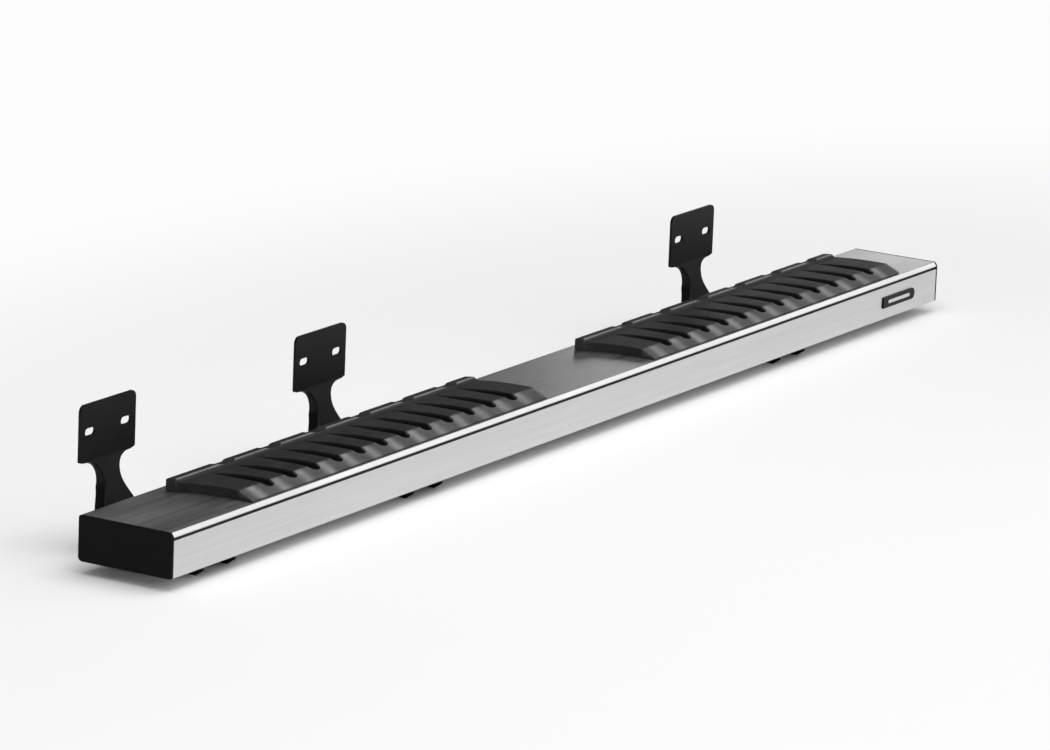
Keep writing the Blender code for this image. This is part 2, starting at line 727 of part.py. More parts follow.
def mount_plane():
    """The Y of the inboard face of the top plates, from the middle of the board."""
    return top_bend(1.0)[0][0] + ARM_SHEET


def upper_flare(above):
    """Half the width above the waist, outside and inside the flange, on arcs about one centre."""
    edge = WAIST_WIDTH / 2 + UPPER_FLARE_RADIUS
    return [edge - math.sqrt(max(reach ** 2 - above ** 2, 0.0))
            for reach in (UPPER_FLARE_RADIUS, UPPER_FLARE_RADIUS + ARM_SHEET)]


def lower_flare(below):
    """Half the width below the waist, outside and inside the flange, on a curve with straight ends."""
    gain = (FOOT_WIDTH - WAIST_WIDTH) / 2
    turn = math.pi * below / LOWER_FLARE_LENGTH
    half = WAIST_WIDTH / 2 + gain * (1 - math.cos(turn)) / 2
    steepness = gain * math.sin(turn) * math.pi / (2 * LOWER_FLARE_LENGTH)
    return half, half - ARM_SHEET * math.hypot(1, steepness)


def arm_stations():
    """Path point, heading, half width outside, half width inside and flange depth, from foot to top."""
    slope, bend_start, _, waist = arm_path()
    tip = -SLOT_SPACING / 2 - FOOT_PAST_SLOT
    half = FOOT_WIDTH / 2
    inside = half - ARM_SHEET
    stations = [((tip, ARM_FLANGE), 0.0, half, inside, FOOT_TIP_FLANGE),
                ((tip + FOOT_TIP_LENGTH, ARM_FLANGE), 0.0, half, inside, ARM_FLANGE),
                ((bend_start, ARM_FLANGE), 0.0, half, inside, ARM_FLANGE)]
    bend_steps = math.ceil(slope / ARC_STEP) + 1
    for k in range(1, bend_steps + 1):
        heading = slope * k / bend_steps
        point = (bend_start + ARM_BEND_RADIUS * math.sin(heading),
                 ARM_FLANGE + ARM_BEND_RADIUS * (1 - math.cos(heading)))
        stations.append((point, heading, half, inside, ARM_FLANGE))
    for k in range(FLARE_ROWS):
        below = LOWER_FLARE_LENGTH * (1 - k / FLARE_ROWS)
        stations.append((on_arm(waist - below), slope, *lower_flare(below), ARM_FLANGE))
    for k in range(FLARE_ROWS + 1):
        above = UPPER_FLARE_RADIUS * math.sin(math.pi / 2 * k / FLARE_ROWS)
        stations.append((on_arm(waist + above), slope, *upper_flare(above), ARM_FLANGE))
    plate = PLATE_WIDTH / 2
    for k in range(CORNER_ROWS + 1):
        turn = math.pi / 2 * k / CORNER_ROWS
        width = plate - PLATE_CORNER * (1 - math.sin(turn))
        point, heading = top_bend((k + 1) / (CORNER_ROWS + 1))
        stations.append((point, heading, width, width - ARM_SHEET, ARM_SHEET))
    top, _ = top_bend(1.0)
    for k in range(CORNER_ROWS + 1):
        turn = math.pi / 2 * k / CORNER_ROWS
        width = plate - PLATE_CORNER * (1 - math.cos(turn))
        point = (top[0], top[1] + PLATE_HEIGHT - PLATE_CORNER * (1 - math.sin(turn)))
        stations.append((point, math.pi / 2, width, width - ARM_SHEET, ARM_SHEET))
    return stations


def arm_section(point, heading, half, inside, depth):
    """One cross section of the pressed channel: a web with rounded folds and two flanges turned back."""
    into = (math.sin(heading), -math.cos(heading))
    limit = (mount_plane() - point[0]) / into[0] if into[0] > 0.1 else depth
    depth = max(min(depth, limit), ARM_SHEET)
    radius = min(ARM_FOLD_RADIUS, depth - ARM_SHEET)
    fold = [(half - radius * (1 - math.sin(turn)), radius * (1 - math.cos(turn)))
            for turn in (0.0, math.pi / 4, math.pi / 2)]
    side = [*fold, (half, depth), (inside, depth), (inside, ARM_SHEET)]
    outline = side + [(-width, down) for width, down in side[::-1]]
    return [(width, point[0] + down * into[0], point[1] + down * into[1]) for width, down in outline]


def plate_slot_places():
    """The middles of the slots in a top plate: X from the middle of the arm, Z from the ground."""
    top, _ = top_bend(1.0)
    return [(side * PLATE_SLOT_SPACING / 2, top[1] + PLATE_HEIGHT / 2) for side in (-1, 1)]


def build_arm(name, parent):
    """A pressed arm: foot under the board, waist behind it and a slotted plate at the top."""
    arm = add_piece(name, loft([arm_section(*station) for station in arm_stations()]), "powder_coat", parent)
    slots = bmesh.new()
    plane = mount_plane()
    for place in plate_slot_places():
        slot = obround(place, PLATE_SLOT_LENGTH, PLATE_SLOT_HEIGHT)
        prism(slot, [], plane - 2 * ARM_SHEET, plane + ARM_SHEET, along_y, slots)
    for side in (-1, 1):
        slot = obround((side * SLOT_SPACING / 2, 0.0), FOOT_HOLE_LENGTH, 2 * BOLT_HOLE_RADIUS)
        hole = [(b, a) for a, b in slot]
        prism(hole, [], ARM_FLANGE - 2 * ARM_SHEET, ARM_FLANGE + ARM_SHEET, along_z, slots)
    combine(arm, name + "_slots", slots, "DIFFERENCE")


# Fasteners under one arm, each about its own axis


def washer_top():
    return ARM_FLANGE - ARM_SHEET - SEAT_GAP


def nut_top():
    return washer_top() - WASHER_THICKNESS - SEAT_GAP


def bolt_head_ring(height, trim):
    """The hammer head seen from above: a rectangle with clipped corners, across the slot."""
    a, b = BOLT_HEAD_WIDTH / 2 - trim, BOLT_HEAD_LENGTH / 2 - trim
    clip = BOLT_HEAD_WIDTH / 4
    half = [(a, 0), (a, b - clip), (a - clip, b), (0, b), (clip - a, b), (-a, b - clip)]
    return [(side * x, side * y, height) for side in (1, -1) for x, y in half]


def build_bolt(name, parent, place):
    seat = BOARD_BOTTOM + SLOT_LIP + SEAT_GAP
    tip = nut_top() - NUT_HEIGHT - BOLT_PAST_NUT
    top = seat + BOLT_HEAD_HEIGHT
    sides = len(bolt_head_ring(top, 0.0))
    sections = [
        ring_points(BOLT_RADIUS - BOLT_END_CHAMFER, tip, sides),
        ring_points(BOLT_RADIUS, tip + BOLT_END_CHAMFER, sides),
        ring_points(BOLT_RADIUS, seat, sides),
        bolt_head_ring(seat, 0.0),
        bolt_head_ring(top - BOLT_END_CHAMFER, 0.0),
        bolt_head_ring(top, BOLT_END_CHAMFER),
    ]
    add_piece(name, loft(sections), "zinc_plate", parent, place)


def build_washer(name, parent, place):
    bore = BOLT_RADIUS + SEAT_GAP
    bottom = washer_top() - WASHER_THICKNESS
    corners = [(bore, bottom), (WASHER_RADIUS, bottom), (WASHER_RADIUS, washer_top()), (bore, washer_top())]
    add_piece(name, turned_ring([ring_points(radius, height) for radius, height in corners]), "zinc_plate",
              parent, place)


def hex_ring(height):
    """A hexagon with a point at each corner and at the middle of each side."""
    corner = NUT_ACROSS_FLATS / math.sqrt(3)
    points = []
    for k in range(12):
        radius = corner if k % 2 == 0 else NUT_ACROSS_FLATS / 2
        points.append((radius * math.cos(math.pi * k / 6), radius * math.sin(math.pi * k / 6), height))
    return points


def build_nut(name, parent, place):
    """A hexagon nut with a flange against the washer."""
    bore = BOLT_RADIUS + SEAT_GAP
    bottom = nut_top() - NUT_HEIGHT
    sides = len(hex_ring(bottom))
    sections = [
        ring_points(bore, bottom, sides),
        hex_ring(bottom),
        hex_ring(nut_top() - NUT_FLANGE_HEIGHT),
        ring_points(NUT_FLANGE_RADIUS, nut_top() - NUT_FLANGE_HEIGHT / 2, sides),
        ring_points(NUT_FLANGE_RADIUS, nut_top(), sides),
        ring_points(bore, nut_top(), sides),
    ]
    add_piece(name, turned_ring(sections), "zinc_plate", parent, place)


def board_middle():
    """The Y of the middle of the board, which puts the origin at the middle of the part's depth."""
    outboard = BOARD_WIDTH / 2 + SEAT_GAP + BADGE_THICKNESS
    return (outboard - mount_plane()) / 2


def build_side_step():
    clear_scene()
    board_frame = frame_at("board_frame", 0.0, board_middle(), BOARD_BOTTOM)
    build_board(board_frame)
    for name, end in (("front", -1), ("rear", 1)):
        build_cap("end_cap_" + name, end, board_frame)
        build_cap_screws(f"cap_screw_{name}", end, board_frame)
    for number, name in enumerate(("tread_pad_front", "tread_pad_rear")):
        build_pad(name, number, board_frame)
    build_badge(board_frame)
    for name, place in zip(ARM_NAMES, ARM_PLACES):
        arm_frame = frame_at(f"arm_frame_{name}", FRONT_END + place, board_middle(), 0.0)
        build_arm("arm_" + name, arm_frame)
        for side, y in (("outboard", -SLOT_SPACING / 2), ("inboard", SLOT_SPACING / 2)):
            build_bolt(f"slot_bolt_{name}_{side}", arm_frame, (0.0, y, 0.0))
            build_washer(f"washer_{name}_{side}", arm_frame, (0.0, y, 0.0))
            build_nut(f"flange_nut_{name}_{side}", arm_frame, (0.0, y, 0.0))


build_side_step()
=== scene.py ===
"""Looks of a truck side step: a brushed aluminium board with two black tread pads, end caps and a small
plain plate, on three powder coated arms with zinc plated fasteners. X runs rearward, Y inboard and Z up, in
metres. Each node is replaced by a finer piece of the same form and sizes, with small roundings and its own
material."""

import json
import math

import bmesh
import bpy
from mathutils import Matrix, Vector


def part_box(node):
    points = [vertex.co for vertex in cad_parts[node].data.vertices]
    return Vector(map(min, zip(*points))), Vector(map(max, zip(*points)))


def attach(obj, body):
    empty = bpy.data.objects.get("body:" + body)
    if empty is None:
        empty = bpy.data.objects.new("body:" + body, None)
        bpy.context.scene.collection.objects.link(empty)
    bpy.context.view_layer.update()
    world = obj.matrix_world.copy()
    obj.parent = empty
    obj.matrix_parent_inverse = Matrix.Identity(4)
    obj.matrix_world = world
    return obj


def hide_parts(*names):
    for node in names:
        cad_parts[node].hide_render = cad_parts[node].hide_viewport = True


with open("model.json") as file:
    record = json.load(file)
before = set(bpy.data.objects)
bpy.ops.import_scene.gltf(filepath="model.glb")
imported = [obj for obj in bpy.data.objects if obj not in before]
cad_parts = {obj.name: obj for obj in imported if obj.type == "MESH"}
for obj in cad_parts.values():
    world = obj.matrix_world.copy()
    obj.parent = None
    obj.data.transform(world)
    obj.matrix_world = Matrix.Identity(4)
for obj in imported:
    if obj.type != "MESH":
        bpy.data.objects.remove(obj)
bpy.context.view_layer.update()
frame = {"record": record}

# Camera
CAMERA_PLACE = Vector((-8.012, -4.796, 2.345))
CAMERA_AIM = Vector((-0.02, 0.0, 0.085))
CAMERA_ROLL = math.radians(2.3)
CAMERA_LENS = 224.0
CAMERA_REACH = 200.0
SENSOR_WIDTH = 36.0

# Floor: its shadows fade out between near and far, in metres from the middle after the squeeze
FLOOR_SIZE = 80.0
FLOOR_COLOUR = (0.96, 0.96, 0.96, 1.0)
FLOOR_ROUGHNESS = 0.9
BACKDROP_COLOUR = (0.98, 0.98, 0.98, 1.0)
FLOOR_NEAR = 0.5
FLOOR_FAR = 1.4
FLOOR_SQUEEZE = (0.5, 1.0, 1.0)

# World: its light grows from low to high along the tilt
WORLD_TILT = (0.0, -0.50, 0.87)
WORLD_START = 0.15
WORLD_END = 0.95
WORLD_LOW = 0.06
WORLD_HIGH = 1.22

# Lamps: place, aim, width and height, and radiance
SOFTBOXES = {
    "overhead": ((-0.5, -0.9, 3.4), (-0.3, -0.3, 0.0), (4.2, 2.7), 1.7),
    "side_strip": ((10.3, -5.0, 4.6), (0.3, -0.1, 0.1), (6.0, 3.7), 1.4),
    "rear_card": ((5.0, 1.80, 1.15), (1.0, 0.0, 0.1), (1.9, 1.4), 0.85),
}

# Materials: the range that holds most of a noise, and the usual specular level of the shader
NOISE_LOW = 0.3
NOISE_HIGH = 0.7
PLAIN_SPECULAR = 0.5
RECESS_DULLNESS = 0.3

# Clearances
SEAT_GAP = 0.0003
FIT_GAP = 0.0004

# Board section
BOARD_WALL = 0.0026
BOARD_WEB = 0.0022
BEVEL_WIDTH = 0.004
BEVEL_DROP = 0.006
EDGE_RADIUS = 0.003
BELLY_RADIUS = 0.007
INNER_RADIUS = 0.0015
TINY_RADIUS = 0.0003
LINE_DROP = 0.0068
LINE_HEIGHT = 0.0042
LINE_DEPTH = 0.0024
LINE_DRAFT = 0.0003
SLOT_INSET = 0.036
SLOT_MOUTH = 0.0096
SLOT_CHANNEL = 0.0200
SLOT_DEPTH = 0.0072
SLOT_LIP = 0.0030

# End caps
CAP_THICKNESS = 0.0045
CAP_EDGE = 0.0012
SPIGOT_WALL = 0.0022
CAP_SCREW_TO_HOUSING = 0.0104
CAP_SCREW_INSET = 0.013
CAP_SCREW_RADIUS = 0.0020
CAP_SCREW_POINT_RADIUS = 0.0008
CAP_SCREW_HEAD_RADIUS = 0.0038
CAP_SCREW_HEAD_HEIGHT = 0.0026
CAP_SCREW_DOME = 0.0021
CAP_SCREW_LENGTH = 0.0100
RECESS_LENGTH = 0.0036
RECESS_WIDTH = 0.0008
RECESS_DEPTH = 0.0014

# Tread pads
PAD_LENGTH = 0.765
PAD_START = 0.205
PAD_STEP = 1.076
PAD_OUTBOARD_MARGIN = 0.0075
PAD_INBOARD_MARGIN = 0.020
PAD_RIM = 0.0025
PAD_RIM_EDGE = 0.0004
PAD_EDGE = 0.0015
NOSE_WIDTH = 0.025
NOSE_RADIUS = 0.006
TREAD_HEIGHT_OUTBOARD = 0.0120
TREAD_HEIGHT_INBOARD = 0.0135
TREAD_CROWN = 0.0003
TOE_LIP_RAMP = 0.004
TOE_LIP_WIDTH = 0.012
TOE_LIP_HEIGHT = 0.0180
TOE_LIP_LOW_HEIGHT = 0.0156
TOE_LIP_LOW_LENGTH = 0.040
TOE_LIP_STEP = 0.0025
TOE_LIP_RADIUS = 0.0012
GROOVE_COUNT = 12
GROOVE_PITCH = 0.0575
GROOVE_HALF_WIDTH = 0.0115
GROOVE_TIP_HALF_WIDTH = 0.0005
GROOVE_DRAFT = 0.0018
GROOVE_FLOOR = 0.0045
GROOVE_NOSE_MARGIN = 0.0135
GROOVE_TOE_MARGIN = 0.003
GROOVE_ROUND = 0.009
GROOVE_TAPER = 3.6
GROOVE_RISE = 0.012
GROOVE_ENTRY = 0.0012
# Painted highlight on the nose: its strongest place in each groove pitch, its spread and its least share
NOSE_HIGHLIGHT_PLACE = 0.30
NOSE_HIGHLIGHT_SPREAD = 0.30
NOSE_HIGHLIGHT_LEAST = 0.30
CRESCENT_RADIUS = 0.160
CRESCENT_CENTRE = 0.040
PEG_COUNT = 3
PEG_INSET = 0.110
PEG_ROW_SPACING = 0.046
PEG_RADIUS = 0.0040
PEG_BARB = 0.0012
PEG_BARB_LENGTH = 0.0060

# Plate on the outboard face
BADGE_LENGTH = 0.104
BADGE_HEIGHT = 0.018
BADGE_THICKNESS = 0.0018
BADGE_CORNER = 0.0015
BADGE_EDGE = 0.0006
BADGE_BAR_LENGTH = 0.070
BADGE_BAR_HEIGHT = 0.0056
BADGE_BAR_SINK = 0.0010
BADGE_BAR_EDGE = 0.0002

# Arms
ARM_SHEET = 0.004
ARM_FLANGE = 0.018
ARM_FOLD_RADIUS = 0.003
ARM_SLOPE = math.radians(70)
ARM_BEND_RADIUS = 0.012
ARM_TOP_BEND_RADIUS = 0.010
ARM_GAP = 0.008
ARM_CUT_EDGE = 0.0004
FLANGE_LEAN = 0.1
FOOT_WIDTH = 0.080
FOOT_PAST_SLOT = 0.022
FOOT_TIP_FLANGE = 0.010
FOOT_TIP_LENGTH = 0.012
FOOT_HOLE_LENGTH = 0.018
WAIST_WIDTH = 0.040
WAIST_ABOVE_BOARD = 0.020
LOWER_FLARE_LENGTH = 0.052
UPPER_FLARE_RADIUS = 0.028
PLATE_WIDTH = 0.130
PLATE_HEIGHT = 0.078
PLATE_CORNER = 0.010
PLATE_SLOT_SPACING = 0.084
PLATE_SLOT_LENGTH = 0.024
PLATE_SLOT_HEIGHT = 0.011

# Fasteners under the board
BOLT_RADIUS = 0.0040
BOLT_PITCH = 0.00125
BOLT_THREAD_DEPTH = 0.0007
BOLT_HEAD_LENGTH = 0.0190
BOLT_HEAD_WIDTH = 0.0090
BOLT_HEAD_HEIGHT = 0.0048
BOLT_HEAD_EDGE = 0.0004
BOLT_END_CHAMFER = 0.0008
BOLT_PAST_NUT = 0.0015
BOLT_HOLE_RADIUS = 0.0046
WASHER_RADIUS = 0.0090
WASHER_THICKNESS = 0.0016
WASHER_EDGE = 0.0003
NUT_ACROSS_FLATS = 0.013
NUT_FLANGE_RADIUS = 0.0086
NUT_FLANGE_HEIGHT = 0.0016
NUT_HEIGHT = 0.0076
NUT_CHAMFER = 0.0008

# Fineness
ARC_STEP = math.radians(9)
SMALL_TURN = 1e-6
WELD = 1e-6
CUT_ANGLE = math.radians(40)
CUT_SEGMENTS = 2
ROUND_SIDES = 48
THREAD_STEPS = 8
HEAD_SIDE_STEPS = 6
FLARE_ROWS = 22
CORNER_ROWS = 8
DOME_START = 2
EDGE_ROWS = 4
WASHER_EDGE_ROWS = 3
BLUNT_ROWS = 9
TREAD_ROWS = 34
LAND_COLUMNS = 7
WALL_SHARES = (0.0, 0.15, 0.3, 0.5, 0.7, 0.85, 1.0)

# Places worked out from the frame
board_low, board_high = (Vector(corner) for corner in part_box("board_extrusion"))
BOARD_WIDTH = board_high.y - board_low.y
BOARD_HEIGHT = board_high.z - board_low.z
BOARD_MIDDLE = (board_low.y + board_high.y) / 2
BOARD_PLACE = Vector((0.0, BOARD_MIDDLE, board_low.z))
FRONT_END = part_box("end_cap_front")[0][0]
SLOT_SPACING = BOARD_WIDTH - 2 * SLOT_INSET
SLOT_ROOF = SLOT_LIP + SLOT_DEPTH
HOUSING_ROOF = SLOT_ROOF + BOARD_WALL
HOUSING_INNER = SLOT_SPACING / 2 - SLOT_CHANNEL / 2 - BOARD_WALL
HOUSING_OUTER = SLOT_SPACING / 2 + SLOT_CHANNEL / 2 + BOARD_WALL
WEB_INNER = SLOT_SPACING / 2 - BOARD_WEB / 2
WEB_OUTER = SLOT_SPACING / 2 + BOARD_WEB / 2
CEILING = BOARD_HEIGHT - BOARD_WALL
ARM_BEND_START = BOARD_WIDTH / 2 + ARM_GAP - ARM_BEND_RADIUS * math.tan(ARM_SLOPE / 2)


# Node trees


class Graph:
    """A shader's node tree, with short ways to fill it. A value is a number, a tuple or a node's output."""

    def __init__(self, tree):
        self.tree = tree

    def put(self, value, socket):
        """Sets the socket, or links a node's output to it."""
        if isinstance(value, bpy.types.NodeSocket):
            self.tree.links.new(value, socket)
        else:
            socket.default_value = value

    def add(self, kind, inputs=None, **settings):
        """A new node with these settings, and with values in its inputs by name or number."""
        node = self.tree.nodes.new("ShaderNode" + kind)
        for name, setting in settings.items():
            setattr(node, name, setting)
        for name, value in (inputs or {}).items():
            self.put(value, node.inputs[name])
        return node

    def calculate(self, operation, a, b):
        """The result of one sum on two values."""
        return self.add("Math", {0: a, 1: b}, operation=operation).outputs[0]

    def plus(self, value, other, weight):
        """One value plus another times a weight."""
        return self.calculate("ADD", value, self.calculate("MULTIPLY", other, weight))

    def spread(self, value, low, high, start=NOISE_LOW, end=NOISE_HIGH, shape="LINEAR"):
        """The value between start and end, spread from low to high."""
        inputs = {"Value": value, "From Min": start, "From Max": end, "To Min": low, "To Max": high}
        return self.add("MapRange", inputs, interpolation_type=shape).outputs["Result"]

    def seen_ray(self):
        """1 for what the camera sees, directly or in a gloss or through glass, and 0 for diffuse light."""
        path = self.add("LightPath").outputs
        seen = self.calculate("MAXIMUM", path["Is Camera Ray"], path["Is Glossy Ray"])
        return self.calculate("MAXIMUM", seen, path["Is Transmission Ray"])

    def show(self, share, first, second, output):
        """Shows the first shader, and by this share the second."""
        mix = self.add("MixShader", {0: share, 1: first.outputs[0], 2: second.outputs[0]})
        self.put(mix.outputs[0], output.inputs["Surface"])


class Finish(Graph):
    """A procedural material on a Principled shader, in the coordinates of the step itself, in metres."""

    def __init__(self, name, colour, metallic, roughness, specular=PLAIN_SPECULAR):
        self.material = bpy.data.materials.new(name)
        self.material.use_nodes = True
        super().__init__(self.material.node_tree)
        self.shader = self.tree.nodes["Principled BSDF"]
        self.give("Base Color", colour)
        self.give("Metallic", metallic)
        self.give("Roughness", roughness)
        self.give("Specular IOR Level", specular)
        self.place = self.add("TexCoord").outputs["Object"]

    def give(self, socket, value):
        """Puts a value in an input of the shader."""
        self.put(value, self.shader.inputs[socket])

    def painted(self, name):
        """A value that the mesh carries at its points."""
        return self.add("Attribute", attribute_name=name).outputs["Fac"]

    def scaled(self, scale):
        """The place, counted in cells instead of metres."""
        return self.add("Mapping", {"Vector": self.place, "Scale": scale}).outputs[0]

    def noise(self, scale, detail=3.0, roughness=0.5):
        """Noise with this many cells per metre: one number, or one each along X, Y and Z."""
        place = self.scaled(scale if isinstance(scale, tuple) else (scale, scale, scale))
        inputs = {"Vector": place, "Scale": 1.0, "Detail": detail, "Roughness": roughness}
        return self.add("TexNoise", inputs).outputs["Fac"]

    def cells(self, scale):
        """The soft distance to the nearest of many scattered points, for a moulded grain."""
        inputs = {"Vector": self.scaled((scale, scale, scale)), "Scale": 1.0}
        return self.add("TexVoronoi", inputs, feature="SMOOTH_F1").outputs["Distance"]

    def blend(self, share, first, second):
        """A colour between two, by a share from 0 to 1."""
        mix = self.add("Mix", {"Factor": share}, data_type="RGBA")
        colours = [socket for socket in mix.inputs if socket.type == "RGBA"]
        for socket, value in zip(colours, (first, second)):
            self.put(value, socket)
        return next(socket for socket in mix.outputs if socket.type == "RGBA")

    def bump(self, height, distance, strength):
        """Raises the surface by a height from 0 to 1, over a distance in metres."""
        node = self.add("Bump", {"Height": height, "Distance": distance, "Strength": strength})
        self.give("Normal", node.outputs[0])


# Studio


def make_camera():
    """The place from which the photograph was taken, turned to the step, with a longer lens."""
    forward = (CAMERA_AIM - CAMERA_PLACE).normalized()
    level = forward.cross(Vector((0, 0, 1))).normalized()
    up = level.cross(forward)
    right = level * math.cos(CAMERA_ROLL) + up * math.sin(CAMERA_ROLL)
    up = right.cross(forward)
    data = bpy.data.cameras.new("camera")
    data.lens = CAMERA_LENS
    data.sensor_width = SENSOR_WIDTH
    data.clip_end = CAMERA_REACH
    camera = bpy.data.objects.new("camera", data)
    turn = Matrix((right, up, -forward)).transposed().to_4x4()
    camera.matrix_world = Matrix.Translation(CAMERA_PLACE) @ turn
    bpy.context.scene.collection.objects.link(camera)
    bpy.context.scene.camera = camera


def add_softbox(name, place, aim, size, radiance):
    """An area light that looks this bright, whatever its size."""
    data = bpy.data.lights.new(name, "AREA")
    data.shape = "RECTANGLE"
    data.size, data.size_y = size
    data.energy = radiance * math.pi * size[0] * size[1]
    lamp = bpy.data.objects.new(name, data)
    lamp.location = place
    lamp.rotation_euler = (Vector(aim) - Vector(place)).to_track_quat("-Z", "Y").to_euler()
    bpy.context.scene.collection.objects.link(lamp)


def make_world():
    """Soft light from above and from the outboard side, darker towards the inboard horizon."""
    world = bpy.data.worlds.new("studio")
    world.use_nodes = True
    bpy.context.scene.world = world
    world.node_tree.nodes.clear()
    graph = Graph(world.node_tree)
    direction = graph.add("TexCoord").outputs["Generated"]
    tilt = graph.add("VectorMath", {0: direction, 1: WORLD_TILT}, operation="DOT_PRODUCT").outputs["Value"]
    strength = graph.spread(tilt, WORLD_LOW, WORLD_HIGH, WORLD_START, WORLD_END, "SMOOTHSTEP")
    light = graph.add("Background", {"Strength": strength})
    sight = graph.add("Background", {"Color": BACKDROP_COLOUR})
    camera_ray = graph.add("LightPath").outputs["Is Camera Ray"]
    graph.show(camera_ray, light, sight, graph.add("OutputWorld"))


def make_floor():
    """A pale floor that keeps the shadow near the step and is evenly white further out."""
    mesh = bpy.data.meshes.new("floor")
    half = FLOOR_SIZE / 2
    corners = [(-half, -half, 0), (half, -half, 0), (half, half, 0), (-half, half, 0)]
    mesh.from_pydata(corners, [], [(0, 1, 2, 3)])
    floor = bpy.data.objects.new("floor", mesh)
    bpy.context.scene.collection.objects.link(floor)
    paper = Finish("floor_paper", FLOOR_COLOUR, 0.0, FLOOR_ROUGHNESS, specular=0.0)
    glow = paper.add("Emission", {"Color": BACKDROP_COLOUR})
    distance = paper.add("VectorMath", {0: paper.scaled(FLOOR_SQUEEZE)}, operation="LENGTH").outputs["Value"]
    far = paper.spread(distance, 0.0, 1.0, FLOOR_NEAR, FLOOR_FAR, "SMOOTHSTEP")
    share = paper.calculate("MULTIPLY", far, paper.seen_ray())
    paper.show(share, paper.shader, glow, paper.tree.nodes["Material Output"])
    mesh.materials.append(paper.material)


# Materials


def shade(level, blue):
    """A colour that is neutral but for its blue."""
    return (level, level, blue, 1.0)


def clouded(name, colour, metallic, roughness, cloud, shades, dullness, grain, depth, strength,
            specular=PLAIN_SPECULAR, ripple=0.0):
    """A finish whose colour and roughness follow one noise, and whose bump follows another or, without one,
    the same. The ripple is how far the noise of the bump moves the roughness."""
    finish = Finish(name, colour, metallic, roughness, specular)
    clouds = finish.noise(*cloud)
    bumps = finish.noise(*grain) if grain else clouds
    finish.give("Base Color", finish.blend(finish.spread(clouds, 0.0, 1.0), *shades))
    dull = finish.spread(clouds, *dullness)
    if ripple:
        dull = finish.calculate("ADD", dull, finish.spread(bumps, -ripple, ripple))
    finish.give("Roughness", dull)
    finish.bump(bumps, depth, strength)
    return finish.material


def brushed_aluminium():
    """Satin brushed along its length: long fine lines, with broader streaks and a few duller hazes."""
    finish = Finish("brushed_aluminium", shade(0.62, 0.63), metallic=1.0, roughness=0.3)
    finish.give("Anisotropic", 0.55)
    finish.give("Tangent", finish.add("Tangent", direction_type="RADIAL", axis="X").outputs[0])
    fine = finish.noise((9.0, 3400.0, 3400.0), detail=2.0, roughness=0.6)
    lines = finish.noise((3.0, 900.0, 900.0), detail=3.0, roughness=0.6)
    broad = finish.noise((0.9, 90.0, 90.0), detail=3.0, roughness=0.55)
    haze = finish.noise((5.0, 14.0, 14.0), detail=4.0, roughness=0.6)
    grain = finish.plus(finish.calculate("MULTIPLY", fine, 0.4), lines, weight=0.35)
    grain = finish.plus(grain, broad, weight=0.25)
    start, end = 0.36, 0.64
    streaks = finish.blend(finish.spread(grain, 0.0, 1.0, start, end), shade(0.57, 0.58), shade(0.72, 0.73))
    # Painted shade: the groove under the bevel is darkened to near black by the recess value
    recess = finish.painted("recess")
    finish.give("Base Color", finish.blend(recess, streaks, shade(0.05, 0.05)))
    hazy = finish.spread(haze, -0.02, 0.06)
    rough = finish.calculate("ADD", finish.spread(grain, 0.24, 0.36, start, end), hazy)
    finish.give("Roughness", finish.plus(rough, recess, RECESS_DULLNESS))
    finish.bump(grain, distance=0.00003, strength=0.5)
    return finish.material


def tread_plastic():
    """Black moulded plastic with a leathery grain, with a painted highlight on its nose and lip and painted
    shade in its grooves.
    """
    finish = Finish("tread_plastic", shade(0.018, 0.020), metallic=0.0, roughness=0.55, specular=0.20)
    grain = finish.cells(900.0)
    fine = finish.noise(2600.0, detail=2.0)
    mottle = finish.noise(38.0, detail=5.0, roughness=0.6)
    top = finish.blend(finish.spread(mottle, 0.0, 1.0), shade(0.012, 0.013), shade(0.024, 0.026))
    # Painted highlight: a much paler colour on the nose and along the lip, where light catches them
    blotch = finish.spread(mottle, 0.0, 1.0, start=0.35, end=0.65)
    painted_highlight = finish.blend(blotch, shade(0.170, 0.174), shade(0.260, 0.264))
    face = finish.blend(finish.painted("painted_highlight"), top, painted_highlight)
    # Painted shade: the groove floors are darkened towards black by the recess value
    recess = finish.painted("recess")
    finish.give("Base Color", finish.blend(recess, face, shade(0.003, 0.003)))
    rough = finish.calculate("ADD", finish.spread(mottle, 0.46, 0.60), finish.spread(fine, -0.03, 0.03))
    finish.give("Roughness", finish.plus(rough, recess, RECESS_DULLNESS))
    finish.bump(finish.plus(grain, fine, weight=0.5), distance=0.00018, strength=0.6)
    return finish.material


def cap_plastic():
    """Flat black moulding with a spark eroded surface."""
    return clouded("cap_plastic", shade(0.004, 0.005), metallic=0.0, roughness=0.5, specular=0.10,
                   cloud=(60.0, 4.0), shades=(shade(0.002, 0.003), shade(0.005, 0.006)),
                   dullness=(0.50, 0.62), grain=(2200.0, 3.0), depth=0.00010, strength=0.5)


def powder_coat():
    """Satin black powder coat with a slight orange peel."""
    return clouded("powder_coat", shade(0.005, 0.006), metallic=0.0, roughness=0.4, specular=0.14,
                   cloud=(24.0, 4.0), shades=(shade(0.003, 0.004), shade(0.007, 0.008)),
                   dullness=(0.38, 0.48), grain=(520.0, 2.0), depth=0.00012, strength=0.6, ripple=0.02)


def zinc_plate():
    """Bright zinc plate, a little cloudy."""
    return clouded("zinc_plate", shade(0.56, 0.54), metallic=1.0, roughness=0.36,
                   cloud=(320.0, 4.0), shades=(shade(0.48, 0.47), shade(0.62, 0.60)),
                   dullness=(0.30, 0.46), grain=(2600.0, 2.0), depth=0.00003, strength=0.5)


def black_zinc():
    """Blackened zinc on the small screws."""
    return clouded("black_zinc", shade(0.030, 0.032), metallic=0.8, roughness=0.4,
                   cloud=(400.0, 4.0), shades=(shade(0.024, 0.026), shade(0.050, 0.052)),
                   dullness=(0.34, 0.48), grain=(2600.0, 2.0), depth=0.00003, strength=0.5)


